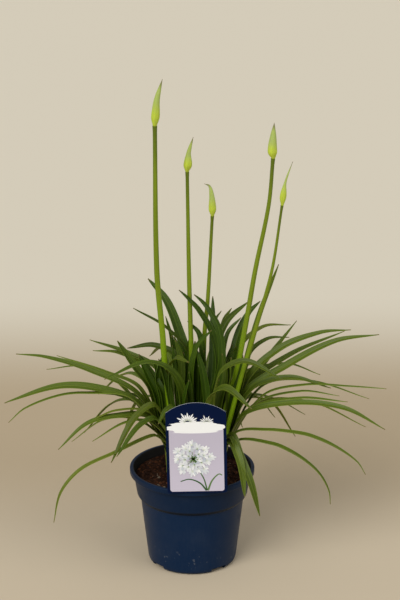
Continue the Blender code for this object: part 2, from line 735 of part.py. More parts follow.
def soil_holes():
    """A plain hole in the soil for every foot and for the label's tongue."""
    holes = new_collection("soil_cutters")
    for x, y in SHOOTS.values():
        low = (x, y, SOIL_TOP - SUNK - GAP)
        cutter_rod(SHEATH_FOOT_RADIUS + GAP, low, (x, y, SOIL_TOP + 20), 20, holes)
    for stem in STEMS:
        (x, y), _, low_radius, _ = STEMS[stem]
        low = (x, y, SOIL_TOP - SUNK - GAP)
        cutter_rod(low_radius + GAP + 0.7, low, (x, y, SOIL_TOP + 20), 12, holes)
    rows = [(half, y, z) for half, y, z in tongue_rows(0.5)[2:4]]
    half, end_y, _ = rows[-1]
    rows.append((half, end_y, TONGUE_END[1] - 1))
    sheet("slot", rows, LABEL_THICKNESS + 2 * GAP, holes)
    return holes


def main():
    clear_scene()
    parts = new_collection("agapanthus_plant")
    leaf = principled("leaf", LEAF_GREEN, 0.45)
    stalk = principled("stem", STEM_GREEN, 0.45)
    spathe = principled("bud", BUD_GREEN, 0.5)
    placed = [("pot", tree_of_object(build_pot(parts, principled("pot", POT_BLUE, 0.4))))]
    holes = soil_holes()
    soil = build_soil(parts, principled("soil", SOIL_BROWN, 0.95), holes)
    placed.append(("soil", tree_of_object(soil)))
    card = principled("label", LABEL_NAVY, 0.35)
    placed.append(("label", tree_of_object(build_label(parts, card))))
    for number in STEMS:
        stem = tube(f"stem_{number}", *stem_path(number), parts, stalk)
        placed.append((stem.name, tree_of_object(stem)))
        bud = tube(f"bud_{number}", *bud_path(number), parts, spathe)
        placed.append((bud.name, tree_of_object(bud)))
    for shoot in SHOOTS:
        placed.append((shoot, tree_of(*sheath_mesh(shoot))))
    grown = {shoot: [] for shoot in SHOOTS}
    for number, leaf_row in enumerate(LEAVES):
        path = bend_clear(leaf_row, placed)
        if path is None:
            print("no clear way for leaf", number, leaf_row)
            continue
        shoot, width, turn = leaf_row[:3]
        grown[shoot].append((path, width, turn))
        placed.append((shoot, tree_of(*blade(path, width, turn))))
    for shoot, paths in grown.items():
        build_shoot(shoot, paths, parts, leaf)


main()
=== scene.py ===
"""The looks of a potted agapanthus: leaves, flower stems in bud, soil, pot, label and a plain studio."""

import math
import random

import bpy
from bpy.props import FloatProperty, FloatVectorProperty, IntProperty, PointerProperty
from mathutils import Matrix, Vector, noise


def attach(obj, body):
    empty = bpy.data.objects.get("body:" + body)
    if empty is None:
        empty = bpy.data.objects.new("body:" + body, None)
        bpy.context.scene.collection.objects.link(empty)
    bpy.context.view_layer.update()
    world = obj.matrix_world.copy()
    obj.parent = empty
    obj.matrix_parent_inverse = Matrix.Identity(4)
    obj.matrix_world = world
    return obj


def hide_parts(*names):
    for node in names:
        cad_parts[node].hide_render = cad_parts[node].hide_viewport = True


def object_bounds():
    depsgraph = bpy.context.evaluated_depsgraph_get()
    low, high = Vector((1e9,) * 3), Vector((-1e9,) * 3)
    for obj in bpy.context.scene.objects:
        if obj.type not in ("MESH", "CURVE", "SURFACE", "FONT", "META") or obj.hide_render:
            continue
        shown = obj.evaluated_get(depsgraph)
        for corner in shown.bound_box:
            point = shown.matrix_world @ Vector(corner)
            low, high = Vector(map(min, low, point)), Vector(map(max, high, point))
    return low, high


bl_info = {
    "name": "Potted Agapanthus",
    "version": (1, 0, 0),
    "blender": (4, 5, 0),
    "location": "View3D > Sidebar > Agapanthus",
    "description": "Dresses the solids of a potted agapanthus with leaves, buds, soil and studio light",
    "category": "Object",
}

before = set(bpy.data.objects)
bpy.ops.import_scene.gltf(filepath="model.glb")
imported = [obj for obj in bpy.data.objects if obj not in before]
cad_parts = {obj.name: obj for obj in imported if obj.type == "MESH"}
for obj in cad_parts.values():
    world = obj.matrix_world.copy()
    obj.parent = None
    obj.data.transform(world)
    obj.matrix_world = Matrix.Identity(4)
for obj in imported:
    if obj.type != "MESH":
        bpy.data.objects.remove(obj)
CAD_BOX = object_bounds()
MM = 0.001

# Places and sizes below are in millimetres, in the frame of the solids

FRONT = Vector((0, -1, 0))
# The line of sight, away from the camera: a leaf moved along it keeps its place in the picture
DEPTH = Vector((0, 0.93, -0.36))

SOIL_TOP = 121.0
SUNK = 24.0
SHEATH_TOP = 168.0
SHEATH_FOOT_RADIUS = 8.0
SHEATH_TOP_RADIUS = 5.6
SHEATH_LAYERS = 3
LEAN = 1.22
SHOOTS = {
    "left": (-27, 4),
    "back_left": (-12, 27),
    "middle": (2, 1),
    "back_right": (20, 27),
    "right": (36, 3),
    "front_left": (-12, -23),
    "front_right": (20, -24),
}

# A leaf is widest this far along, and its base has this share of that width
BLADE_WIDEST = 0.45
BLADE_BASE_SHARE = 0.6

# The leaves of each shoot: width, turn to the front in degrees (or the turns of the lower and the upper part),
# shift along the line of sight, then the points that it passes before that shift
LEAVES = {
    "left": [
        (11, 28, 0, (-70, -6, 242), (-136, -20, 284), (-194, -30, 306), (-232, -36, 312)),
        (12, 30, 0, (-72, -18, 236), (-126, -40, 266), (-178, -60, 276), (-246, -80, 260)),
        (7, 0, 0, (-82, -34, 250), (-140, -48, 262), (-175, -60, 263), (-219, -76, 251), (-240, -84, 234)),
        (8, 10, 0, (-70, 8, 232), (-110, 10, 238), (-154, 12, 238)),
        (8, 10, 0, (-70, 24, 240), (-118, 44, 256), (-186, 70, 270)),
        (6, 10, 0, (-98, 36, 242), (-146, 60, 258), (-202, 90, 242)),
        (12, 45, 0, (-54, 2, 248), (-76, 8, 278), (-100, 14, 312)),
        (10, 50, 0, (-40, 0, 236), (-46, 0, 266), (-40, 4, 294)),
        (9, 0, 0, (-58, 28, 212), (-106, 58, 208), (-152, 92, 146)),
        # Short inner leaves
        (11, 50, 0, (-38, 6, 230), (-44, 8, 262), (-52, 10, 286)),
        (11, 60, 0, (-46, -4, 240), (-60, -2, 272), (-71, 0, 296)),
        (10, 30, 6, (-34, -4, 226), (-32, -6, 256), (-26, -8, 282)),
        (9, 50, 18, (-38, -14, 246), (-53, -14, 276), (-71, -12, 303)),
    ],
    "back_left": [
        (14, 50, 0, (-6, 36, 270), (-20, 52, 320), (-36, 66, 354), (-60, 80, 378)),
        (9, 30, 0, (-44, 40, 258), (-86, 64, 276), (-142, 100, 282)),
        (9, 30, 0, (-58, 40, 260), (-100, 76, 272), (-138, 100, 266)),
        (9, 45, 0, (-16, 28, 280), (-50, 36, 298), (-88, 40, 292)),
        (8, 26, 0, (-2, 26, 282), (-32, 18, 328), (-78, 4, 362)),
        (7, 40, 0, (-22, 40, 252), (-28, 50, 304), (-36, 56, 332)),
        (12, 0, 0, (-22, 66, 236), (-40, 120, 262), (-62, 196, 222)),
        (11, 0, 0, (-46, 58, 222), (-90, 104, 232), (-134, 158, 178)),
        (10, 0, 0, (-14, 70, 216), (-16, 124, 214), (-20, 180, 142)),
        (9, 0, 0, (-38, 66, 204), (-74, 112, 190), (-98, 146, 128)),
        # Short inner leaves
        (12, 50, 0, (-16, 32, 240), (-20, 36, 280), (-28, 40, 310)),
        (11, 50, 0, (-10, 30, 236), (-8, 34, 270), (-4, 38, 306)),
    ],
    "middle": [
        (10, (20, 62), 0, (39, -10, 284), (36, -6, 334), (22.7, 2, 360), (13, 7, 371), (2.7, 10, 379)),
        (9, (30, 60), 0, (35, -2, 276), (29, 3, 323), (9.4, 8, 358), (-5.3, 10, 374), (-17.2, 11, 385)),
        (10, 60, 2, (14, 8, 286), (10, 12, 322), (-6, 20, 338)),
        (9, 60, 0, (-2, -6, 270), (6, -8, 312), (26, -10, 336)),
        (10, 30, 0, (17, 11, 224), (26, 18, 256), (28, 50, 323), (28, 76, 354)),
        (11, 60, -4, (-4, 8, 250), (-14, 10, 292), (-24, 14, 318)),
        # Short inner leaves
        (12, 60, 0, (-2, 2, 236), (-6, 2, 272), (-12, 2, 300)),
        (11, 40, 0, (8, 6, 236), (12, 8, 270), (16, 10, 300)),
        (10, 40, 0, (2, -4, 228), (0, -6, 256), (-4, -8, 276)),
        (13, 60, -24, (3, 16, 240), (3, 22, 276), (4, 28, 306)),
    ],
    "back_right": [
        (13, 50, 0, (52, 24, 274), (62, 36, 314), (76, 42, 342), (92, 50, 356)),
        (7, 0, 0, (28, 60, 282), (32, 76, 320), (40, 90, 328)),
        (11, 50, 0, (30, 36, 284), (46, 50, 326), (76, 70, 348)),
        (10, 40, 0, (36, 56, 284), (44, 76, 320), (54, 90, 332)),
        (10, 40, 0, (40, 20, 282), (48, 30, 318), (66, 40, 336)),
        (9, 50, 32, (40, 2, 274), (50, 0, 296), (60, 0, 310)),
        (8, 30, 0, (62, 50, 286), (96, 76, 310), (136, 100, 304)),
        (9, 30, 0, (86, 60, 246), (116, 80, 280), (144, 100, 310)),
        (7, 5, 0, (58, 44, 246), (126, 56, 264), (176, 64, 244)),
        (8, 10, 0, (66, 60, 220), (92, 80, 204), (116, 100, 166)),
        (12, 0, 0, (22, 72, 240), (34, 130, 268), (44, 208, 236)),
        (11, 0, 0, (40, 66, 226), (78, 118, 240), (112, 178, 196)),
        (10, 0, 0, (26, 70, 206), (52, 124, 196), (72, 170, 122)),
        (9, 0, 0, (58, 58, 206), (106, 92, 196), (146, 122, 128)),
        # Short inner leaves
        (12, 50, 8, (26, 30, 240), (28, 34, 280), (30, 38, 314)),
        (11, 50, 0, (38, 28, 236), (46, 30, 270), (54, 32, 300)),
    ],
    "right": [
        (11, 35, 0, (72, 12, 256), (118, 20, 300), (172, 26, 320), (214, 30, 322)),
        (11, 35, 0, (68, 0, 240), (124, -6, 284), (190, -12, 322), (248, -16, 332)),
        (10, 30, 0, (70, -36, 228), (136, -62, 254), (200, -82, 254), (252, -98, 230)),
        (8, 60, 0, (69, 10, 268), (89, 16, 346), (115, 20, 418)),
        (8, 30, 0, (76, 30, 286), (102, 40, 306), (132, 50, 304)),
        (9, 20, 0, (72, 24, 240), (132, 42, 282), (208, 64, 308)),
        (10, 30, 0, (78, -12, 252), (130, -26, 276), (184, -42, 266)),
        (6, 10, 0, (94, -18, 246), (150, -34, 268), (208, -50, 272), (256, -70, 276)),
        (5, 10, 0, (94, 26, 242), (160, 32, 248), (242, 40, 218)),
        (6.5, 10, 0, (84, -22, 236), (144, -42, 262), (194, -60, 262)),
        (6.5, 10, 0, (78, -30, 232), (142, -56, 258), (204, -76, 260)),
        (6, 10, 0, (86, 8, 224), (160, 10, 226), (236, 12, 188)),
        (6, 10, 0, (74, 40, 220), (114, 66, 208), (158, 96, 172)),
        (10, 50, 2, (54, -6, 236), (64, -6, 270), (68, -4, 298)),
        # Short inner leaves
        (11, 40, -18, (46, 4, 234), (50, 4, 266), (52, 4, 292)),
    ],
    "front_left": [
        (13, (62, 2), 0, (-12, -22, 250), (-30, -32, 290), (-62, -44, 304), (-114, -72, 290)),
        (11, 26, 0, (-48, -42, 242), (-76, -62, 232), (-106, -96, 182)),
        (
            8, 6, 0, (-46, -56, 204), (-60, -66, 206), (-101, -86, 193), (-146, -100, 175),
            (-172, -109, 146), (-182, -111, 103),
        ),
        (10, 20, 0, (-56, -30, 220), (-102, -50, 230), (-140, -64, 224), (-176, -80, 194)),
        (6, 10, 0, (-70, -8, 206), (-118, -14, 210), (-162, -20, 180)),
        (6, 5, -20, (-56, -20, 222), (-100, -30, 230), (-136, -40, 218)),
        (6, 5, 0, (-54, -38, 216), (-88, -48, 220), (-132, -62, 198)),
        (10, 20, 0, (-46, -50, 226), (-70, -70, 224), (-98, -108, 196)),
        (9, 20, 0, (-22, -48, 242), (-34, -64, 244), (-44, -84, 232)),
        (12, 30, 0, (-32, -14, 276), (-22, -28, 304), (-4, -46, 304)),
        (11, 40, 0, (-16, -12, 240), (-14, -8, 290), (-22, -4, 320)),
        # Short inner leaves
        (11, 45, 0, (-26, -20, 226), (-28, -24, 256), (-30, -26, 284)),
        (10, 40, 0, (-14, -24, 222), (-10, -26, 250), (-4, -28, 272)),
        (11, 50, 0, (-27, -27, 237), (-35, -28, 276), (-44, -28, 302)),
        (6, 40, 0, (-18, -14, 252), (-22, -14, 286), (-26, -14, 316)),
    ],
    "front_right": [
        (11, (6, 36), 0, (22, -44, 250), (44, -64, 276), (78, -96, 258)),
        (
            7.5, 4, 0, (60, -44, 205), (99, -54, 212), (131, -66, 214), (156, -74, 212), (188, -84, 201),
            (217, -94, 183), (228, -100, 167),
        ),
        (
            8, 6, 0, (62, -46, 194), (106, -56, 193), (128, -64, 187), (151, -70, 174), (170, -76, 157),
            (182, -79, 134), (184, -80, 115),
        ),
        (11, 30, 0, (52, -58, 206), (64, -76, 184), (78, -92, 152), (90, -98, 106)),
        (11, 30, 0, (50, -62, 200), (64, -84, 178), (70, -98, 134)),
        (9, (6, 42), 0, (34, -36, 280), (70, -50, 308), (120, -70, 288)),
        (11, 40, 0, (20, -14, 240), (14, -10, 280), (6, -6, 308)),
        (10, 30, 0, (36, -18, 236), (44, -14, 272), (40, -8, 302)),
        # Short inner leaves
        (10, 40, 0, (26, -22, 222), (30, -24, 250), (36, -26, 272)),
    ],
}

# Flower stems: foot, the points passed on the way up, radius at the foot and at the neck
STEMS = {
    "1": ((-20, -9), [(-37, -9, 297), (-39, -10, 329), (-46, -13, 421), (-47, -20, 617)], 3.8, 2.8),
    "2": ((-5, 13), [(-1, 13, 290), (-2, 14, 330), (-4, 16, 411), (-6, 20, 545)], 3.3, 2.3),
    "3": ((8, 15), [(14, 24, 230), (17, 28, 321), (21, 27, 364), (27, 23, 484)], 3.1, 2.1),
    "4": ((21, 11), [(58, 10, 262), (72, 14, 336), (84, 16, 411), (101, 19, 500), (106, 20, 563)], 3.5, 2.5),
    "5": ((33, -12), [(63, -13, 260), (86, -15, 346), (105, -17, 422), (117, -20, 511)], 3.0, 1.7),
}
# Buds: the points passed above the neck, widest radius, and how much of it is left beyond the bulge
BUDS = {
    "1": ([(-46, -20, 631), (-44, -20, 652), (-37, -20, 678)], 5.5, 0.88),
    "2": ([(-5, 20, 557), (-4, 20, 571), (2, 20, 592)], 5.6, 0.66),
    "3": ([(27, 23, 496), (26, 23, 513), (23, 23, 525), (16, 23, 528)], 5.0, 0.86),
    "4": ([(105, 20, 575), (106, 20, 595), (107, 20, 611)], 6.2, 0.95),
    "5": ([(118, -20, 522), (121, -20, 543), (130, -20, 570)], 4.3, 0.42),
}
BUD_WIDEST = 0.2

# The pot's wall as radius and height: under the floor, up the outside, over the rim and down the inside
POT_OUTLINE = [
    (0, 0), (26, 0), (28, 3.5), (52.5, 3.5), (53.1, 0), (55.9, 0), (59.3, 3.0), (60.5, 7.0),
    (70.2, 92), (70.6, 94), (74.0, 97), (75.2, 99.5), (79.0, 122.5), (81.2, 133.6),
    (83.5, 134.1), (83.5, 128.5), (84.8, 128.5), (85.0, 135.0), (84.1, 136.0), (80.0, 136.0),
    (77.5, 122.5), (73.7, 101), (72.5, 98.6), (69.2, 95), (68.7, 93), (58.3, 8.5), (55.5, 5.2),
    (27, 5.2), (25, 1.7), (0, 1.7),
]
POT_FILLET = 1.1
POT_LEDGE = 96.2
NOTCH_BEARINGS = (-52, 38, 128, 218)
NOTCH_WIDTH = 23
NOTCH_DEPTH = 18
NOTCH_CIRCLE = 60.5
DRAIN_HOLES = 6
DRAIN_RADIUS = 4
DRAIN_CIRCLE = 40
DRAIN_MIDDLE = 6.6
DRAIN_DEPTH = 12

# The soil from its underside to its edge, and the radius of its top
SOIL_OUTLINE = [
    (0.0, 2.2), (24, 2.2), (27, 5.7), (54.5, 5.7), (57.6, 9.2), (68.2, 94), (71.8, 99.4), (73.2, 101),
]
SOIL_TOP_RADIUS = 77.1
SOIL_RINGS = 50
CRUMB_REACH = 74

# The card, and on it the pale panel and the white band, from the middle of the card's lower edge
LABEL_CENTRE = 7.4
LABEL_WIDTH = 79.3
LABEL_SIDE = 114.5
LABEL_RISE = 14.0
LABEL_FACE_Y = -86.0
LABEL_CORNER = 4.0
LABEL_THICKNESS = 0.8
PANEL_MIDDLE = 47.5
PANEL_HALF_WIDTH = 35.8
PANEL_HALF_HEIGHT = 45.0
PANEL_CORNER = 3.6
BAND_MIDDLE = 93.5
BAND_HALF_WIDTH = 38.8
BAND_HALF_HEIGHT = 8.2
PRINT_THICKNESS = 0.05
TONGUE_WAY = [(-86.0, 139.0), (-77.6, 138.6), (-75.4, 136.0), (-60.0, 84.0), (-60.0, 76.0)]
TONGUE_STEPS = 39
TONGUE_HALF_WIDTH = 10
TONGUE_POINT = 7

# The flower printed on the card
FLOWER_HUB = Vector((-4.5, 49))
FLOWERS = 23
FLOWER_PETALS = 6
FLOWER_TURN = 2.39996

# The camera's place, in metres, and the colour of both lights
CAMERA_PLACE = (0.0107, -2.6, 1.272)
SUNLIGHT = (1, 0.985, 0.955)


# Settings


def colour_setting(name, description, value):
    return FloatVectorProperty(
        name=name, description=description, subtype="COLOR", size=4, min=0, max=1, default=(*value, 1)
    )


def length_setting(name, description, millimetres):
    return FloatProperty(
        name=name, description=description, unit="LENGTH", min=0, precision=5, default=millimetres * MM
    )


def share_setting(name, description, value):
    return FloatProperty(name=name, description=description, subtype="FACTOR", min=0, max=1, default=value)


def angle_setting(name, description, degrees):
    return FloatProperty(name=name, description=description, subtype="ANGLE", default=math.radians(degrees))


class LeafSettings(bpy.types.PropertyGroup):
    """Sizes and colours of the strap leaves"""

    thickness: length_setting("Thickness", "Thickness of a leaf blade", 0.8)
    channel: share_setting("Channel", "Depth of the channel, as a share of half the width", 0.44)
    wave: share_setting("Wave", "How much the edges wave, as a share of half the width", 0.06)
    along: IntProperty(name="Steps", description="Faces along each leaf", min=8, max=96, default=44)
    upper: colour_setting("Upper side", "Colour of the upper side", (0.125, 0.190, 0.014))
    deep: colour_setting("Deep green", "Colour of the darker streaks", (0.046, 0.084, 0.006))
    under: colour_setting("Underside", "Colour of the underside", (0.15, 0.21, 0.025))
    base: colour_setting("Base", "Colour of the leaf's base", (0.24, 0.31, 0.045))
    # The margin colour is a painted highlight: the pale line where the blade's edges catch the light.
    margin: colour_setting("Margin", "Colour of the thin edge", (0.22, 0.30, 0.045))
    older: colour_setting("Older leaves", "Olive of the older leaves", (0.15, 0.155, 0.015))
    midrib: colour_setting("Midrib", "Colour along the middle", (0.21, 0.27, 0.05))
    tip: colour_setting("Dry tip", "Brown of the very tip", (0.16, 0.11, 0.04))


class StemSettings(bpy.types.PropertyGroup):
    """Colours of the flower stems"""

    low: colour_setting("Low colour", "Yellow green of the lower stem", (0.20, 0.34, 0.004))
    middle: colour_setting("Middle colour", "Green halfway up", (0.20, 0.275, 0.012))
    neck: colour_setting("Neck colour", "Darker green under the bud", (0.09, 0.125, 0.008))


class BudSettings(bpy.types.PropertyGroup):
    """Colours of the closed buds"""

    bulge: colour_setting("Bulge colour", "Lime yellow of the bulge", (0.56, 0.68, 0.060))
    upper: colour_setting("Upper colour", "Paler green of the drawn out part", (0.36, 0.45, 0.14))
    tip: colour_setting("Tip colour", "Dry brown of the tip", (0.13, 0.10, 0.05))


class SoilSettings(bpy.types.PropertyGroup):
    """Sizes and colours of the soil"""

    relief: length_setting("Relief", "Height of the lumps", 3.2)
    crumbs: IntProperty(name="Crumbs", description="Number of loose crumbs", min=0, max=1500, default=620)
    dark: colour_setting("Dark peat", "Colour of damp peat", (0.022, 0.0072, 0.0034))
    light: colour_setting("Light peat", "Colour of dry fibres", (0.135, 0.050, 0.022))
    pale: colour_setting("Pale crumbs", "Colour of the few palest crumbs", (0.24, 0.19, 0.14))


class PotSettings(bpy.types.PropertyGroup):
    """Colours of the pot and the height of its notches"""

    blue: colour_setting("Blue", "Colour of the moulded plastic", (0.0022, 0.0160, 0.052))
    dust: colour_setting("Dust", "Colour of dust and scuffs", (0.20, 0.22, 0.24))
    # This colour is partly real soil stain and partly painted shade: the inner wall is painted nearly black
    # where little light reaches it.
    stain_and_shade: colour_setting("Stain", "Colour of the soiled inner wall", (0.0055, 0.0036, 0.0032))
    notch: length_setting("Notch height", "Height of the notches in the foot", 6.5)


class LabelSettings(bpy.types.PropertyGroup):
    """Place and colours of the label"""

    bottom: length_setting("Bottom", "Height of the card's lower edge", 134.4)
    tilt: angle_setting("Tilt", "Turn of the card", 1.2)
    navy: colour_setting("Navy", "Colour of the card's ground", (0.0012, 0.0070, 0.036))
    panel: colour_setting("Panel", "Colour of the pale panel", (0.56, 0.525, 0.64))
    white: colour_setting("White", "Colour of the band and petals", (0.87, 0.89, 0.90))
    green: colour_setting("Green", "Colour of the drawn stalk", (0.035, 0.10, 0.03))
    edge: colour_setting("Edge", "Colour of the card's edge and back", (0.62, 0.64, 0.66))


class StudioSettings(bpy.types.PropertyGroup):
    """Camera, floor and surround"""

    lens: FloatProperty(name="Lens", description="Focal length", unit="CAMERA", default=124.56)
    pitch: angle_setting("Pitch", "Camera's tilt", 19.04)
    # The three floor colours carry painted shade: the paper is painted darker behind the pot and paler near and
    # far, as the studio light falls on it.
    near: colour_setting("Near floor", "Colour of the floor in front", (0.575, 0.49, 0.365))
    mid_floor_shade: colour_setting("Middle floor", "Colour of the floor behind the pot", (0.45, 0.365, 0.25))
    far: colour_setting("Far floor", "Colour of the far floor", (0.69, 0.64, 0.53))
    wall: colour_setting("Wall", "Colour seen behind the floor", (0.65, 0.595, 0.477))
    air: colour_setting("Air", "Colour of the light from all round", (1.0, 0.98, 0.95))


SETTINGS = {
    "leaf": LeafSettings,
    "stem": StemSettings,
    "bud": BudSettings,
    "soil": SoilSettings,
    "pot": PotSettings,
    "label": LabelSettings,
    "studio": StudioSettings,
}


def settings(kind):
    return getattr(bpy.context.scene, f"agapanthus_{kind}")


# Materials


def new_material(name):
    made = bpy.data.materials.new(name)
    made.use_nodes = True
    return made, made.node_tree, made.node_tree.nodes["Principled BSDF"]


def set_inputs(tree, made, inputs):
    """Give each input of a node its value, or link it where the value is a socket."""
    for key, value in inputs.items():
        if isinstance(value, bpy.types.NodeSocket):
            tree.links.new(value, made.inputs[key])
        else:
            made.inputs[key].default_value = value


def add(tree, kind, inputs=None, **options):
    """A new node with its options and inputs set."""
    made = tree.nodes.new(kind)
    for option, value in options.items():
        setattr(made, option, value)
    set_inputs(tree, made, inputs or {})
    return made


def math_of(tree, operation, *values):
    return add(tree, "ShaderNodeMath", dict(enumerate(values)), operation=operation).outputs[0]


def away_from(tree, value, middle):
    """How far a value is from the middle, on either side."""
    return math_of(tree, "ABSOLUTE", math_of(tree, "SUBTRACT", value, middle))


def vector_of(tree, operation, *values, result=0):
    return add(tree, "ShaderNodeVectorMath", dict(enumerate(values)), operation=operation).outputs[result]


def fade(tree, value, low, high, start=0.0, end=1.0):
    """From start to end, smoothly, while the value goes from low to high."""
    inputs = {"Value": value, "From Min": low, "From Max": high, "To Min": start, "To Max": end}
    return add(tree, "ShaderNodeMapRange", inputs, interpolation_type="SMOOTHSTEP").outputs["Result"]


def blend_colours(tree, share, first, second):
    return add(tree, "ShaderNodeMix", {0: share, 6: first, 7: second}, data_type="RGBA").outputs[2]


def noise_of(tree, vector, scale, detail, roughness=0.55):
    inputs = {"Vector": vector, "Scale": scale, "Detail": detail, "Roughness": roughness}
    return add(tree, "ShaderNodeTexNoise", inputs).outputs["Fac"]


def tint_of(tree):
    """The number that each leaf, crumb or petal carries on its points."""
    return add(tree, "ShaderNodeAttribute", attribute_name="tint").outputs["Fac"]


def own_place(tree):
    return add(tree, "ShaderNodeTexCoord").outputs["Object"]


def parts_of(tree, vector):
    return add(tree, "ShaderNodeSeparateXYZ", {0: vector}).outputs


def spread_of(tree):
    """Where a point lies across and along its piece, from the UV map."""
    return parts_of(tree, add(tree, "ShaderNodeUVMap").outputs[0])


def shaded(colour, share):
    """The colour made darker, to this share of itself."""
    return tuple(channel * share for channel in colour[:3]) + (1,)


def new_group(name, inputs, outputs):
    """A shader group, the sockets that come into it, and the node that its results go to."""
    group = bpy.data.node_groups.new(name, "ShaderNodeTree")
    for direction, sockets in (("INPUT", inputs), ("OUTPUT", outputs)):
        for socket, kind in sockets.items():
            group.interface.new_socket(socket, in_out=direction, socket_type=f"NodeSocket{kind}")
    entry = group.nodes.new("NodeGroupInput")
    leave = group.nodes.new("NodeGroupOutput")
    return group, entry.outputs, leave


def use_group(tree, name, inputs):
    return add(tree, "ShaderNodeGroup", inputs, node_tree=bpy.data.node_groups[name]).outputs


def make_grain_group():
    """Streaks along a leaf, stem or bud, with the brightness and age that its tint gives it. The brightness is
    part random tone and part painted shade: low tints, on the inner leaves, paint them darker.
    """
    group, entry, leave = new_group(
        "plant_grain",
        {"Lines": "Float", "Stretch": "Float", "Colour": "Color", "Deep": "Color"},
        {
            "Colour": "Color",
            "Height": "Float",
            "Along": "Float",
            "Across": "Float",
            "Age": "Float",
            "Bright": "Float",
            "Tint": "Float",
        },
    )
    across, along = spread_of(group)[:2]
    tint = tint_of(group)
    streaks = add(
        group,
        "ShaderNodeCombineXYZ",
        {
            0: math_of(group, "MULTIPLY", across, entry["Lines"]),
            1: math_of(group, "MULTIPLY", along, entry["Stretch"]),
            2: math_of(group, "MULTIPLY", tint, 40.0),
        },
    ).outputs[0]
    fine = noise_of(group, streaks, 1.0, 3.0, 0.5)
    broad = noise_of(group, streaks, 0.22, 2.0, 0.5)
    colour = blend_colours(group, fade(group, fine, 0.35, 0.7), entry["Deep"], entry["Colour"])
    colour = blend_colours(group, fade(group, broad, 0.3, 0.75, 0.0, 0.65), colour, entry["Deep"])
    results = {
        "Colour": colour,
        "Height": fine,
        "Along": along,
        "Across": across,
        "Age": math_of(group, "FRACT", math_of(group, "MULTIPLY", tint, 7.3)),
        # Painted shade: a low tint paints the piece darker, standing in for the shade inside the clump; the
        # rest of the spread is random tone.
        "Bright": fade(group, tint, 0.0, 1.0, 0.45, 1.26),
        "Tint": tint,
    }
    set_inputs(group, leave, results)


def make_mottle_group():
    """Slow unevenness and small marks over a surface, by its own place."""
    group, entry, leave = new_group(
        "mottle",
        {"Colour": "Color", "Marks": "Color", "Scale": "Float", "Amount": "Float"},
        {"Colour": "Color", "Mask": "Float", "Height": "Float"},
    )
    place = own_place(group)
    slow = noise_of(group, place, entry["Scale"], 5.0, 0.6)
    fine = noise_of(group, place, math_of(group, "MULTIPLY", entry["Scale"], 14.0), 2.0, 0.5)
    mask = math_of(group, "MULTIPLY", fade(group, slow, 0.45, 0.75), entry["Amount"])
    colour = blend_colours(group, mask, entry["Colour"], entry["Marks"])
    set_inputs(group, leave, {"Colour": colour, "Mask": mask, "Height": fine})


def make_round_panel_group():
    """A rounded rectangle on the card's own plane, as a mask of 0 to 1."""
    group, entry, leave = new_group(
        "round_panel",
        {"Place": "Vector", "Centre": "Vector", "Half Size": "Vector", "Corner": "Float"},
        {"Mask": "Float"},
    )
    flat = vector_of(group, "MULTIPLY", entry["Place"], (1, 0, 1))
    size = vector_of(group, "ABSOLUTE", vector_of(group, "SUBTRACT", flat, entry["Centre"]))
    beyond = vector_of(group, "SUBTRACT", size, entry["Half Size"])
    corner = add(group, "ShaderNodeCombineXYZ", {0: entry["Corner"], 1: 0.0, 2: entry["Corner"]}).outputs[0]
    outside = vector_of(group, "MAXIMUM", vector_of(group, "ADD", beyond, corner), (0, 0, 0))
    length = vector_of(group, "LENGTH", outside, result="Value")
    distance = math_of(group, "SUBTRACT", length, entry["Corner"])
    set_inputs(group, leave, {"Mask": fade(group, distance, 0.0001, -0.0001)})


def bump(tree, shader, height, strength, distance):
    made = add(tree, "ShaderNodeBump", {"Strength": strength, "Distance": distance, "Height": height})
    tree.links.new(made.outputs[0], shader.inputs["Normal"])


def living(shader, weight, radius):
    """Light that passes a little way into living tissue."""
    shader.inputs["Subsurface Weight"].default_value = weight
    shader.inputs["Subsurface Radius"].default_value = (0.35, 0.6, 0.1)
    shader.inputs["Subsurface Scale"].default_value = radius


def surface(tree, shader, colour, roughness, specular):
    set_inputs(tree, shader, {"Base Color": colour, "Roughness": roughness, "Specular IOR Level": specular})


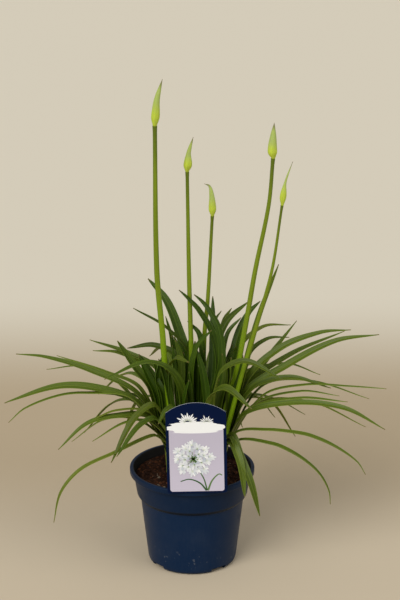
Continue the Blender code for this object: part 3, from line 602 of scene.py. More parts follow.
def leaf_material(name, colour, deep, midrib_share, roughness):
    """Streaked green: yellower on inner leaves, olive on older ones, with painted shade in the clump and
    towards each leaf's base, a painted highlight along the edges, and dry at the tip.
    """
    made, tree, shader = new_material(name)
    own = settings("leaf")
    inner_tone, outer_tone = (0.97, 1.22, 0.5, 1), (0.98, 0.88, 0.78, 1)
    grain = use_group(tree, "plant_grain", {"Lines": 30.0, "Stretch": 3.0, "Colour": colour, "Deep": deep})
    along, middle = grain["Along"], away_from(tree, grain["Across"], 0.5)
    rib = fade(tree, middle, 0.10, 0.0, 0.0, midrib_share)
    coloured = blend_colours(tree, rib, grain["Colour"], own.midrib)
    # Painted highlight: a pale line along both edges, where the edges catch the light.
    coloured = blend_colours(tree, fade(tree, middle, 0.45, 0.49, 0.0, 0.32), coloured, own.margin)
    tone = blend_colours(tree, fade(tree, grain["Tint"], 0.15, 0.6), inner_tone, outer_tone)
    coloured = vector_of(tree, "MULTIPLY", coloured, tone)
    coloured = blend_colours(tree, fade(tree, grain["Age"], 0.5, 1.0, 0.0, 0.35), coloured, own.older)
    coloured = blend_colours(tree, fade(tree, along, 0.14, 0.0, 0.0, 0.6), coloured, own.base)
    # Painted shade: darker towards the base of each leaf and on the low-tinted inner leaves, where the clump
    # shades them.
    shade = math_of(tree, "MULTIPLY", grain["Bright"], fade(tree, along, 0.05, 0.55, 0.42, 1.0))
    coloured = add(tree, "ShaderNodeVectorMath", {0: coloured, "Scale": shade}, operation="SCALE").outputs[0]
    coloured = blend_colours(tree, fade(tree, along, 0.975, 1.0, 0.0, 0.7), coloured, own.tip)
    rough = fade(tree, grain["Height"], 0.2, 0.8, roughness - 0.06, roughness + 0.1)
    surface(tree, shader, coloured, rough, 0.2)
    living(shader, 0.12, 0.0015)
    bump(tree, shader, grain["Height"], 0.35, 0.0004)
    return made


def stem_material():
    made, tree, shader = new_material("stem_skin")
    own = settings("stem")
    inputs = {"Lines": 14.0, "Stretch": 5.0, "Colour": own.middle, "Deep": shaded(own.middle, 0.72)}
    grain = use_group(tree, "plant_grain", inputs)
    coloured = blend_colours(tree, fade(tree, grain["Along"], 0.62, 0.28, 0.0, 0.9), grain["Colour"], own.low)
    coloured = blend_colours(tree, fade(tree, grain["Along"], 0.84, 0.99, 0.0, 0.8), coloured, own.neck)
    surface(tree, shader, coloured, 0.42, 0.2)
    living(shader, 0.15, 0.0025)
    bump(tree, shader, grain["Height"], 0.25, 0.0003)
    return made


def bud_material():
    """Lime yellow at the bulge, paler in streaks above it, with a seam and a dry tip."""
    made, tree, shader = new_material("bud_skin")
    own = settings("bud")
    inputs = {"Lines": 24.0, "Stretch": 1.6, "Colour": own.bulge, "Deep": shaded(own.bulge, 0.74)}
    grain = use_group(tree, "plant_grain", inputs)
    along = grain["Along"]
    streak = fade(tree, grain["Height"], 0.35, 0.65, 0.55, 1.0)
    share = math_of(tree, "MULTIPLY", fade(tree, along, 0.22, 0.55), streak)
    coloured = blend_colours(tree, share, grain["Colour"], own.upper)
    coloured = blend_colours(tree, fade(tree, along, 0.05, 0.0, 0.0, 0.7), coloured, settings("stem").neck)
    coloured = blend_colours(tree, fade(tree, along, 0.74, 0.97, 0.0, 0.9), coloured, own.tip)
    seam = away_from(tree, grain["Across"], 0.55)
    coloured = blend_colours(tree, fade(tree, seam, 0.022, 0.0, 0.0, 0.5), coloured, own.upper)
    surface(tree, shader, coloured, 0.46, 0.25)
    living(shader, 0.2, 0.003)
    bump(tree, shader, grain["Height"], 0.4, 0.0004)
    return made


def pot_material():
    """Satin blue with dust specks near the foot, faint upright marks, painted shade over the collar, and a dark
    line of painted shadow in the groove under the collar.
    """
    made, tree, shader = new_material("pot_plastic")
    own = settings("pot")
    mottle = use_group(tree, "mottle", {"Colour": own.blue, "Marks": own.dust, "Scale": 26.0, "Amount": 0.03})
    place = own_place(tree)
    up = parts_of(tree, place)[2]
    speck = noise_of(tree, place, 190.0, 2.0, 0.4)
    spot = math_of(tree, "MULTIPLY", fade(tree, speck, 0.66, 0.74), fade(tree, up, 0.05, 0.004))
    coloured = blend_colours(tree, math_of(tree, "MULTIPLY", spot, 0.4), mottle["Colour"], own.dust)
    long_marks = add(tree, "ShaderNodeMapping", {"Vector": place, "Scale": (1, 1, 0.12)}).outputs[0]
    drawn = fade(tree, noise_of(tree, long_marks, 420.0, 3.0, 0.6), 0.35, 0.75, 0.0, 0.012)
    coloured = blend_colours(tree, drawn, coloured, own.dust)
    # Painted shade: the collar is painted darker, as the rim, the leaves and the label shade it.
    coloured = blend_colours(tree, fade(tree, up, 0.0945, 0.099, 0.0, 0.3), coloured, shaded(own.blue, 0.4))
    # Painted shadow: a dark line in the groove under the collar.
    ledge_painted_shadow = fade(tree, away_from(tree, up, POT_LEDGE * MM), 0.0034, 0.0016, 0.0, 0.75)
    coloured = blend_colours(tree, ledge_painted_shadow, coloured, (0, 0.0004, 0.001, 1))
    surface(tree, shader, coloured, fade(tree, mottle["Mask"], 0.0, 0.03, 0.36, 0.50), 0.12)
    bump(tree, shader, mottle["Height"], 0.10, 0.0003)
    return made


def soil_material():
    made, tree, shader = new_material("peat")
    own = settings("soil")
    mottle = use_group(tree, "mottle", {"Colour": own.dark, "Marks": own.light, "Scale": 190.0, "Amount": 0.8})
    tint = tint_of(tree)
    coloured = blend_colours(tree, fade(tree, tint, 0.5, 1.0, 0.0, 0.9), mottle["Colour"], own.light)
    coloured = blend_colours(tree, fade(tree, tint, 0.955, 0.96), coloured, own.pale)
    surface(tree, shader, coloured, 0.95, 0.15)
    bump(tree, shader, mottle["Height"], 0.9, 0.0012)
    return made


def band_mask(tree, place):
    """A white band with ragged ends, thick in the middle and thin at the card's edges."""
    parts = parts_of(tree, place)
    reach = math_of(tree, "DIVIDE", math_of(tree, "ABSOLUTE", parts[0]), BAND_HALF_WIDTH * MM)
    streaks = add(tree, "ShaderNodeMapping", {"Vector": place, "Scale": (22, 0, 420)}).outputs[0]
    ragged = math_of(tree, "SUBTRACT", noise_of(tree, streaks, 1.0, 3.0, 0.6), 0.5)
    growing = math_of(tree, "MULTIPLY", math_of(tree, "POWER", reach, 2.0), 0.016)
    ragged = math_of(tree, "MULTIPLY", ragged, growing)
    full = math_of(tree, "MAXIMUM", math_of(tree, "SUBTRACT", 1.0, math_of(tree, "POWER", reach, 2.6)), 0.0)
    half = math_of(tree, "MULTIPLY", math_of(tree, "POWER", full, 0.7), BAND_HALF_HEIGHT * MM)
    drop = away_from(tree, parts[2], BAND_MIDDLE * MM)
    over = math_of(tree, "SUBTRACT", math_of(tree, "SUBTRACT", drop, half), ragged)
    inside, off_edge = fade(tree, over, 0.0001, -0.0001), fade(tree, reach, 0.985, 0.975)
    return math_of(tree, "MULTIPLY", inside, off_edge)


def card_material():
    """The printed face: a navy ground, a white band and a pale panel."""
    made, tree, shader = new_material("card_print")
    own = settings("label")
    middle = (-LABEL_CENTRE * MM, 0, -own.bottom)
    place = add(tree, "ShaderNodeMapping", {"Vector": own_place(tree), "Location": middle}).outputs[0]
    place = add(tree, "ShaderNodeMapping", {"Vector": place, "Rotation": (0, own.tilt, 0)}).outputs[0]
    panel = {
        "Place": place,
        "Centre": (0, 0, PANEL_MIDDLE * MM),
        "Half Size": (PANEL_HALF_WIDTH * MM, 0, PANEL_HALF_HEIGHT * MM),
        "Corner": PANEL_CORNER * MM,
    }
    rise = parts_of(tree, place)[2]
    sky = blend_colours(tree, fade(tree, rise, 0.0, 0.09), own.panel, shaded(own.panel, 0.9))
    coloured = blend_colours(tree, use_group(tree, "round_panel", panel)["Mask"], own.navy, sky)
    coloured = blend_colours(tree, band_mask(tree, place), coloured, own.white)
    surface(tree, shader, coloured, 0.35, 0.06)
    bump(tree, shader, noise_of(tree, place, 900.0, 2.0), 0.04, 0.0002)
    return made


def plain_material(name, colour, roughness, scale=400.0):
    """One colour with a slow unevenness and a fine grain."""
    made, tree, shader = new_material(name)
    inputs = {"Colour": colour, "Marks": shaded(colour, 0.8), "Scale": scale, "Amount": 0.5}
    mottle = use_group(tree, "mottle", inputs)
    tree.links.new(mottle["Colour"], shader.inputs["Base Color"])
    shader.inputs["Roughness"].default_value = roughness
    bump(tree, shader, mottle["Height"], 0.1, 0.0003)
    return made


def print_surface(tree, shader, colour):
    surface(tree, shader, colour, 0.4, 0.2)
    bump(tree, shader, noise_of(tree, own_place(tree), 900.0, 2.0), 0.04, 0.0002)


def petal_material():
    """White petals, greyer where their tint is low, with a greenish throat and a faint vein."""
    made, tree, shader = new_material("card_petals")
    own = settings("label")
    across, along = spread_of(tree)[:2]
    shade = blend_colours(tree, fade(tree, tint_of(tree), 0.3, 1.0), (0.47, 0.52, 0.60, 1), own.white)
    shade = blend_colours(tree, fade(tree, along, 0.45, 0.0, 0.0, 0.55), shade, (0.50, 0.60, 0.36, 1))
    vein = fade(tree, away_from(tree, across, 0.5), 0.10, 0.0, 0.0, 0.25)
    print_surface(tree, shader, blend_colours(tree, vein, shade, (0.50, 0.56, 0.56, 1)))
    return made


def stalk_material():
    """Drawn stalks and leaves, from deep to pale green by their own tint."""
    made, tree, shader = new_material("card_stalks")
    share = fade(tree, tint_of(tree), 0.3, 1.0)
    print_surface(tree, shader, blend_colours(tree, share, settings("label").green, (0.16, 0.26, 0.09, 1)))
    return made


# Shapes


def deselect():
    if bpy.context.object and bpy.context.object.mode != "OBJECT":
        bpy.ops.object.mode_set(mode="OBJECT")
    bpy.ops.object.select_all(action="DESELECT")


def active(made):
    deselect()
    made.select_set(True)
    bpy.context.view_layer.objects.active = made


def apply(made, modifier):
    active(made)
    bpy.ops.object.modifier_apply(modifier=modifier.name)


def thicken(made, millimetres, back=0, rim=0):
    """Give a sheet its thickness, with the material for its back and rim counted on from its front's."""
    wall = made.modifiers.new("wall", "SOLIDIFY")
    wall.thickness = millimetres * MM
    wall.offset = 0.0
    wall.material_offset = back
    wall.material_offset_rim = rim
    apply(made, wall)


def smooth(made, degrees=50):
    active(made)
    bpy.ops.object.shade_smooth_by_angle(angle=math.radians(degrees))


def paint(made, *materials):
    made.data.materials.clear()
    for material in materials:
        made.data.materials.append(material)


def name_piece(made, name):
    made.name = made.data.name = name
    return made


def join(name, pieces):
    deselect()
    for piece in pieces:
        piece.select_set(True)
    bpy.context.view_layer.objects.active = pieces[0]
    if len(pieces) > 1:
        bpy.ops.object.join()
    return name_piece(bpy.context.object, name)


def dress(made, slot, *nodes):
    """Settle a finished piece: it rides on the part and stands for its CAD nodes."""
    made.parent = None
    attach(made, "root")
    if nodes:
        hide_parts(*nodes)


def tinted(made, value):
    attribute = made.data.attributes.new("tint", "FLOAT", "POINT")
    attribute.data.foreach_set("value", [value] * len(made.data.vertices))


def shaped_grid(name, across, along, place):
    """A grid whose every point goes where place says, from its shares across and along."""
    deselect()
    bpy.ops.mesh.primitive_grid_add(x_subdivisions=across, y_subdivisions=along, size=1)
    made = name_piece(bpy.context.object, name)
    for vertex in made.data.vertices:
        vertex.co = place(vertex.co.x + 0.5, vertex.co.y + 0.5) * MM
    made.data.update()
    return made


def merge_doubles(made, distance):
    active(made)
    bpy.ops.object.mode_set(mode="EDIT")
    bpy.ops.mesh.select_all(action="SELECT")
    bpy.ops.mesh.remove_doubles(threshold=distance)
    bpy.ops.mesh.normals_make_consistent(inside=False)
    bpy.ops.object.mode_set(mode="OBJECT")


def ramp(share):
    share = max(0.0, min(1.0, share))
    return share * share * (3 - 2 * share)


def smooth_path(points, count):
    """Evenly numbered points on a smooth curve through these points."""
    knots = [Vector(point) for point in points]
    spans = [(b - a).length for a, b in zip(knots, knots[1:])]
    times = [0.0]
    for span in spans:
        times.append(times[-1] + span)
    slopes = []
    for i in range(len(knots)):
        low, high = max(i - 1, 0), min(i + 1, len(knots) - 1)
        slopes.append((knots[high] - knots[low]) / (times[high] - times[low]))
    made, span = [], 0
    for step in range(count):
        time = times[-1] * step / (count - 1)
        while span < len(spans) - 1 and time > times[span + 1]:
            span += 1
        share = (time - times[span]) / spans[span]
        square, cube = share**2, share**3
        made.append(
            knots[span] * (2 * cube - 3 * square + 1)
            + slopes[span] * spans[span] * (cube - 2 * square + share)
            + knots[span + 1] * (3 * square - 2 * cube)
            + slopes[span + 1] * spans[span] * (cube - square)
        )
    return made


def heading_at(path, i):
    return (path[min(i + 1, len(path) - 1)] - path[max(i - 1, 0)]).normalized()


def tube(name, path, radius_at, around):
    """A closed round piece along the path. radius_at takes the share along and the angle."""
    frames = []
    last = len(path) - 1
    for i in range(last + 1):
        along = heading_at(path, i)
        side = along.cross(FRONT).normalized()
        frames.append((side, along.cross(side).normalized()))

    def place(across, share):
        i = round(share * (last + 2)) - 1
        if i < 0 or i > last:
            return path[0 if i < 0 else last].copy()
        angle = 2 * math.pi * across
        side, front = frames[i]
        return path[i] + (side * math.cos(angle) + front * math.sin(angle)) * radius_at(i / last, angle)

    made = shaped_grid(name, around, last + 2, place)
    merge_doubles(made, 0.000005)
    return made


# Leaves


def blade_width(share, width, blunt):
    if share < BLADE_WIDEST:
        return width * (BLADE_BASE_SHARE + (1 - BLADE_BASE_SHARE) * ramp(share / BLADE_WIDEST))
    beyond = (share - BLADE_WIDEST) / (1 - BLADE_WIDEST)
    return width * max(0.08, (1 - beyond ** (2.4 + 1.0 * blunt)) ** (0.9 - 0.2 * blunt))


def leaf_path(shoot, way, shift, count):
    """From inside the sheath and out of its neck through the leaf's own points."""
    x, y = SHOOTS[shoot]
    neck = Vector((x * LEAN, y * LEAN, SHEATH_TOP - 6))
    reach = Vector(way[0]) - neck
    outward = Vector((reach.x, reach.y, 0)).normalized()
    root = Vector((x * 1.06, y * 1.06, SHEATH_TOP - 30 + (way[0][0] + way[0][1]) % 7))
    points = [root + outward * 1.2, neck + outward * 2.4]
    for i, point in enumerate(way):
        points.append(Vector(point) + DEPTH * shift * (0.45 if i == 0 else 1.0))
    return smooth_path(points, count)


def blade_frames(path, turn):
    """For each point of the path, the direction across the blade and the one out of its upper side."""
    run = path[-1] - path[0]
    heading = Vector((run.x, run.y, 0)).normalized()
    across = Vector((0, 0, 1)).cross(heading)
    low, high = turn if isinstance(turn, tuple) else (turn, turn)
    frames = []
    for i in range(len(path)):
        along = heading_at(path, i)
        side = (across - along * across.dot(along)).normalized()
        upper = along.cross(side)
        front = FRONT - along * FRONT.dot(along)
        share = i / (len(path) - 1)
        beyond = ramp((share - 0.45) / 0.3)
        angle = math.radians(low * ramp(share / 0.35) * (1 - beyond) + high * beyond)
        upper = (upper * math.cos(angle) + front * math.sin(angle)).normalized()
        frames.append((upper.cross(along), upper))
    return frames


def inside_box(point, margin):
    """The point, kept this far inside the solids' box."""
    low, high = CAD_BOX
    return Vector([max(a / MM + margin, min(b / MM - margin, c)) for a, b, c in zip(low, high, point)])


def build_leaf(shoot, row, chance):
    """One blade with a channel, a wave and a lean. Leaves that end near the middle are blunter and yellower,
    and their lower tint gives them painted shade.
    """
    width, turn, shift, *way = row
    own = settings("leaf")
    path = [inside_box(point, 1.2) for point in leaf_path(shoot, way, shift, own.along + 1)]
    frames = blade_frames(path, turn)
    reach = math.hypot(way[-1][0], way[-1][1])
    blunt = ramp((175 - reach) / 80)
    phase, beat = chance.uniform(0, 6.3), chance.uniform(9, 15)
    lean = chance.uniform(-0.10, 0.10)

    def place(across, share):
        i = round(share * own.along)
        side, upper = frames[i]
        half = blade_width(share, width, blunt) / 2
        spread = 1 - 2 * across
        fold = own.channel * half * (1 - abs(spread) ** 1.2)
        wave = own.wave * half * spread * math.sin(beat * share + phase) * ramp(share * 3)
        roll = lean * spread * half * ramp(share * 2)
        return path[i] + side * spread * half + upper * (wave + roll - fold)

    made = shaped_grid("blade", 8, own.along, place)
    # The tint grows with the leaf's reach, with some random spread; a low tint gives painted shade to the inner
    # leaves.
    tinted(made, max(0.0, min(1.0, 0.1 + 0.8 * (reach - 40) / 170 + chance.uniform(-0.28, 0.28))))
    return made


def build_sheath(shoot):
    """Leaf bases wrapped round each other, each layer standing a little proud of the one beneath it."""
    x, y = SHOOTS[shoot]
    foot = Vector((x, y, SOIL_TOP - SUNK))
    ground = Vector((x, y, SOIL_TOP + 6))
    top = Vector((x * LEAN, y * LEAN, SHEATH_TOP))
    path = smooth_path([foot, ground, ground.lerp(top, 0.55), top], 26)

    def radius_at(share, angle):
        body = SHEATH_FOOT_RADIUS + (SHEATH_TOP_RADIUS - SHEATH_FOOT_RADIUS) * ramp((share - 0.35) / 0.5)
        round_off = min(1.0, (1.02 - share) * 9) ** 0.5
        layer = (SHEATH_LAYERS * angle / (2 * math.pi) + 0.45 * share) % 1
        fold = 0.13 * min(layer, 8 * (1 - layer))
        return body * (0.9 + fold + 0.05 * math.cos(2 * angle)) * round_off

    made = tube(f"sheath_{shoot}", path, radius_at, 48)
    tinted(made, 0.7)
    return made


def build_leaves():
    own = settings("leaf")
    upper = leaf_material("leaf_upper", own.upper, own.deep, 0.30, 0.40)
    under = leaf_material("leaf_under", own.under, own.upper, 0.55, 0.52)
    sheath_skin = leaf_material("sheath_skin", own.base, own.under, 0.0, 0.5)
    chance = random.Random(11)
    for shoot, rows in LEAVES.items():
        leaves = join(f"leaves_{shoot}", [build_leaf(shoot, row, chance) for row in rows])
        paint(leaves, upper, under)
        thicken(leaves, own.thickness / MM, back=1)
        sheath = build_sheath(shoot)
        paint(sheath, sheath_skin)
        for piece in (leaves, sheath):
            smooth(piece, 60)
            dress(piece, "leaf", f"shoot_{shoot}")


# Flower stems and buds


def stem_path(stem, count):
    (x, y), way, _, _ = STEMS[stem]
    return smooth_path([(x, y, SOIL_TOP - SUNK), (x, y, SOIL_TOP + 4), *way], count)


def build_stems():
    skin = stem_material()
    for stem, (_, _, low, neck) in STEMS.items():

        def radius_at(share, angle, low=low, neck=neck):
            swell = 0.35 * ramp((share - 0.985) / 0.015)
            fuller = 0.5 * (1 - ramp((share - 0.55) / 0.45))
            return low + (neck - low) * ramp(share) + fuller + swell + 0.05 * math.sin(3 * angle + 5 * share)

        made = tube(f"flower_stem_{stem}", stem_path(stem, 60), radius_at, 20)
        tinted(made, 0.45 + int(stem) / 20)
        paint(made, skin)
        smooth(made)
        dress(made, "stem", f"stem_{stem}")


def build_buds():
    skin = bud_material()
    for stem, (way, widest, narrowing) in BUDS.items():
        neck_radius = STEMS[stem][3]
        below, neck = stem_path(stem, 16)[-2:]
        rise = (neck - below).normalized()
        path = smooth_path([neck, neck + rise * 2.3, *way], 56)

        def radius_at(share, angle, neck_radius=neck_radius, widest=widest, narrowing=narrowing):
            if share < BUD_WIDEST:
                body = neck_radius + (widest - neck_radius) * ramp(share / BUD_WIDEST) ** 0.7
            else:
                beyond = (share - BUD_WIDEST) / (1 - BUD_WIDEST)
                slim = narrowing + (1 - narrowing) * (1 - ramp(beyond / 0.45))
                body = max(0.3, widest * slim * (1 - beyond**1.9))
            ridge = 0.055 * math.exp(-(((angle - 3.45) / 0.22) ** 2)) + 0.03 * math.cos(2 * angle)
            return body * (0.97 + ridge * ramp(share * 6) * (1 - share * 0.5))

        made = tube(f"closed_bud_{stem}", path, radius_at, 28)
        tinted(made, 0.35 + int(stem) / 12)
        paint(made, skin)
        smooth(made, 60)
        dress(made, "bud", f"bud_{stem}")


# Pot


def filleted(profile, radius):
    """The profile with each corner rounded off."""
    made = [Vector(profile[0])]
    for before, corner, after in zip(profile, profile[1:], profile[2:]):
        before, corner, after = Vector(before), Vector(corner), Vector(after)
        into, out = before - corner, after - corner
        reach = min(radius, into.length * 0.45, out.length * 0.45)
        start, end = corner + into.normalized() * reach, corner + out.normalized() * reach
        for step in range(4):
            share = step / 3
            made.append(start.lerp(corner, share).lerp(corner.lerp(end, share), share))
    made.append(Vector(profile[-1]))
    return made


def turned(name, profile, steps):
    """A round body drawn ring by ring along the profile, which starts and ends on the axis."""
    deselect()
    radius, height = profile[0]
    radius = max(radius, 0.01)
    bpy.ops.mesh.primitive_circle_add(vertices=steps, radius=radius * MM, location=(0, 0, 0))
    made = name_piece(bpy.context.object, name)
    bpy.ops.object.mode_set(mode="EDIT")
    bpy.ops.transform.translate(value=(0, 0, height * MM))
    for next_radius, next_height in profile[1:]:
        next_radius = max(next_radius, 0.01)
        bpy.ops.mesh.extrude_region_move(
            TRANSFORM_OT_translate={"value": (0, 0, (next_height - height) * MM)}
        )
        share = next_radius / radius
        bpy.ops.transform.resize(value=(share, share, 1), center_override=(0, 0, next_height * MM))
        radius, height = next_radius, next_height
    merge_doubles(made, 0.00003)
    return made


def settled_cutter():
    """The primitive just added, with its place and scale moved into its mesh."""
    bpy.ops.object.transform_apply(location=True, rotation=True, scale=True)
    return bpy.context.object


def build_pot_cutter():
    """The notches in the foot and the drain holes in the floor, as one body to cut away."""
    cutters = []
    size = (NOTCH_WIDTH * MM, NOTCH_DEPTH * MM, 2 * settings("pot").notch)
    for bearing in NOTCH_BEARINGS:
        deselect()
        bpy.ops.mesh.primitive_cube_add(size=1, scale=size, location=(0, -NOTCH_CIRCLE * MM, 0))
        cutter = settled_cutter()
        cutter.data.transform(Matrix.Rotation(math.radians(bearing), 4, "Z"))
        cutters.append(cutter)
    for hole in range(DRAIN_HOLES):
        angle = 2 * math.pi * hole / DRAIN_HOLES
        centre = Vector((DRAIN_CIRCLE * math.cos(angle), DRAIN_CIRCLE * math.sin(angle), DRAIN_MIDDLE)) * MM
        deselect()
        bpy.ops.mesh.primitive_cylinder_add(
            vertices=24, radius=DRAIN_RADIUS * MM, depth=DRAIN_DEPTH * MM, location=centre
        )
        cutters.append(settled_cutter())
    return join("pot_cutter", cutters)


def build_pot():
    own = settings("pot")
    pot = turned("nursery_pot", filleted(POT_OUTLINE, POT_FILLET), 144)
    cutter = build_pot_cutter()
    cut = pot.modifiers.new("notches", "BOOLEAN")
    cut.operation = "DIFFERENCE"
    cut.object = cutter
    apply(pot, cut)
    bpy.data.objects.remove(cutter)
    # The inner wall's colour is soil stain together with painted shade, nearly black where little light gets
    # in.
    paint(pot, pot_material(), plain_material("stained_and_shaded_wall", own.stain_and_shade, 0.8, 90.0))
    for face in pot.data.polygons:
        centre, normal = face.center, face.normal
        face.material_index = int(centre.z > 0.02 and centre.x * normal.x + centre.y * normal.y < -0.02)
    smooth(pot, 35)
    dress(pot, "pot", "pot")


# Soil


def soil_level(x, y):
    """The lumpy top of the soil, in millimetres."""
    relief = settings("soil").relief / MM
    place = Vector((x, y, 0))
    lumps = noise.fractal(place * 0.06, 1.0, 2.0, 4)
    crumb = noise.noise(place * 0.45)
    edge = ramp((76 - math.hypot(x, y)) / 10)
    return SOIL_TOP + 3.6 + edge * relief * 0.55 * lumps + 0.55 * crumb * edge


def build_soil_bed(peat):
    top = SOIL_TOP + 4
    profile = [*SOIL_OUTLINE, (SOIL_TOP_RADIUS, top - 1.0)]
    profile += [(SOIL_TOP_RADIUS * (1 - step / SOIL_RINGS), top) for step in range(1, SOIL_RINGS)]
    profile.append((0.0, top))
    soil = turned("soil_bed", profile, 160)
    for vertex in soil.data.vertices:
        x, y, z = vertex.co / MM
        if z > top - 0.5:
            vertex.co.z = soil_level(x, y) * MM
    paint(soil, peat)
    tinted(soil, 0.2)
    smooth(soil, 80)
    dress(soil, "soil", "soil")


def crumb_seed():
    """The lumpy mesh that every crumb is a copy of."""
    deselect()
    bpy.ops.mesh.primitive_uv_sphere_add(segments=7, ring_count=5, radius=MM)
    seed = bpy.context.object
    mesh = seed.data
    for vertex in mesh.vertices:
        vertex.co *= 1 + 0.45 * noise.noise(vertex.co / MM * 1.3)
    bpy.data.objects.remove(seed)
    return mesh


def build_crumb(seed, chance, place, size, stretch):
    mesh = seed.copy()
    turn = Matrix.Rotation(chance.uniform(0, 6.3), 4, "Z") @ Matrix.Rotation(chance.uniform(-0.5, 0.5), 4, "Y")
    scale = Matrix.Diagonal((size * stretch[0], size * stretch[1], size * stretch[2], 1))
    mesh.transform(Matrix.Translation(Vector(place) * MM) @ turn @ scale)
    made = bpy.data.objects.new("crumb", mesh)
    bpy.context.scene.collection.objects.link(made)
    tinted(made, chance.random())
    return made


def build_soil():
    """The bed of peat, with round crumbs and a few long fibres lying on it."""
    peat = soil_material()
    build_soil_bed(peat)
    chance = random.Random(5)
    seed = crumb_seed()
    crumbs = []
    for _ in range(settings("soil").crumbs):
        reach = CRUMB_REACH * math.sqrt(chance.random())
        angle = chance.uniform(0, 2 * math.pi)
        x, y = reach * math.cos(angle), reach * math.sin(angle)
        size = chance.uniform(0.5, 1.0) ** 2 * 2.6
        long = chance.random() < 0.22
        stretch = (3.2, 0.35, 0.3) if long else (1.0, chance.uniform(0.6, 1.0), chance.uniform(0.5, 0.9))
        crumbs.append(build_crumb(seed, chance, (x, y, soil_level(x, y) + size * 0.25), size, stretch))
    bpy.data.meshes.remove(seed)
    made = join("soil_crumbs", crumbs)
    paint(made, peat)
    smooth(made, 30)
    dress(made, "soil")


# Label


def card_place(x, rise, proud=0.0):
    """A point of the card's plane, from the card's own middle and lower edge, in millimetres."""
    own = settings("label")
    turn = Matrix.Rotation(-own.tilt, 3, "Y")
    hub = Vector((LABEL_CENTRE, 0, own.bottom / MM))
    return hub + turn @ Vector((x, LABEL_FACE_Y - proud, rise))


def card_top(x):
    """The arch over the card, a part of a circle."""
    radius = ((LABEL_WIDTH / 2) ** 2 + LABEL_RISE**2) / (2 * LABEL_RISE)
    return LABEL_SIDE + LABEL_RISE - radius + math.sqrt(radius**2 - x**2)


def build_card(edge):
    def place(across, share):
        spread = 2 * across - 1
        x = spread * LABEL_WIDTH / 2
        rise = (0.5 - 0.5 * math.cos(math.pi * share)) * card_top(x)
        if rise < LABEL_CORNER:
            corner = LABEL_CORNER - math.sqrt(max(0.0, LABEL_CORNER**2 - (LABEL_CORNER - rise) ** 2))
            x = spread * (LABEL_WIDTH / 2 - corner)
        return card_place(x, rise)

    card = shaped_grid("label_card", 40, 60, place)
    paint(card, card_material(), edge)
    thicken(card, LABEL_THICKNESS, back=1, rim=1)
    smooth(card, 40)
    dress(card, "label", "label")


def build_tongue(edge):
    """The strip that runs from the back of the card over the rim and down into the soil."""
    line = smooth_path([(0, y, z) for y, z in TONGUE_WAY], TONGUE_STEPS + 1)

    def place(across, share):
        half = TONGUE_HALF_WIDTH - TONGUE_POINT * ramp((share - 0.9) / 0.1)
        point = line[round(share * TONGUE_STEPS)]
        return Vector((LABEL_CENTRE + (2 * across - 1) * half, point.y, point.z))

    tongue = shaped_grid("label_tongue", 8, TONGUE_STEPS, place)
    paint(tongue, edge)
    thicken(tongue, LABEL_THICKNESS)
    smooth(tongue, 40)
    dress(tongue, "label")


def direction(angle):
    return Vector((math.cos(angle), math.sin(angle)))


def petal(centre, angle, length, width, proud, tint):
    """One drawn petal: narrow in the throat, full beyond its middle, pointed."""
    along = direction(angle)
    side = Vector((-along.y, along.x))

    def place(across, share):
        half = width / 2 * (0.22 + 0.78 * ramp(share / 0.6)) * math.sqrt(max(0.0, 1 - share**3.2))
        spot = Vector(centre) + along * length * share + side * (1 - 2 * across) * -half
        return card_place(spot.x, spot.y, proud + 0.22 * share)

    made = shaped_grid("petal", 2, 8, place)
    tinted(made, tint)
    return made


def strip(points, width, proud, tint):
    """A drawn stalk through these points, thinner at its end."""
    line = smooth_path([(x, rise, 0) for x, rise in points], 13)

    def place(across, share):
        i = round(share * 12)
        along = heading_at(line, i)
        half = width / 2 * (1 - 0.45 * share)
        spot = line[i] + Vector((-along.y, along.x, 0)) * (2 * across - 1) * half
        return card_place(spot.x, spot.y, proud)

    made = shaped_grid("strip", 2, 12, place)
    tinted(made, tint)
    return made


def printed(name, pieces, material):
    """Join drawn pieces into one thin print on the card."""
    made = join(name, pieces)
    paint(made, material)
    thicken(made, PRINT_THICKNESS)
    dress(made, "label")


def draw_leaves():
    """The leaning stalk of the flower head and its two leaves."""
    hub = FLOWER_HUB
    return [
        strip([(13, 3.5), (9, 20), (1, 36), (hub.x, hub.y)], 2.0, 0.43, 0.5),
        strip([(14, 3.5), (20, 18), (29, 27), (33, 25)], 2.6, 0.43, 0.7),
        strip([(12, 3.5), (4, 14), (-10, 20), (-22, 17)], 2.4, 0.43, 0.35),
    ]


def draw_head(chance, petals, greens):
    """A round head of small trumpet flowers, the outer ones seen more from the side."""
    hub = FLOWER_HUB
    for number in range(FLOWERS):
        share = math.sqrt((number + 0.5) / FLOWERS)
        angle = FLOWER_TURN * number + chance.uniform(-0.12, 0.12)
        outward = Vector((math.cos(angle), math.sin(angle) * 0.92))
        throat = hub + outward * (2.5 + 19.5 * share)
        halfway = hub.lerp(throat, 0.5)
        proud = 0.47 + 0.5 * (1 - share)
        greens.append(strip([tuple(hub), tuple(halfway), tuple(throat)], 0.9, 0.45, 0.9))
        petals.append(petal(halfway, angle, 10 * share, 2.4, proud - 0.03, chance.uniform(0.35, 0.7)))
        for side in range(FLOWER_PETALS):
            around = (side - 2.5) * (58 - 30 * share)
            turn = angle + math.radians(around + chance.uniform(-8, 8))
            bright = 1.05 - 0.003 * abs(around) - chance.uniform(0, 0.4)
            length = chance.uniform(6.8, 10.2) * (1 - 0.0022 * abs(around))
            petals.append(petal(throat, turn, length, 3.2, proud + 0.012 * side, bright))
        if share < 0.75:
            ends = [tuple(throat - outward), tuple(throat + outward * 1.2)]
            greens.append(strip(ends, 1.1, proud + 0.3, 0.9))
    for _ in range(6):
        outward = direction(chance.uniform(0, 6.3))
        start = hub + outward * 2
        greens.append(strip([tuple(start), tuple(start + outward * 4)], 1.8, 1.2, 0.6))


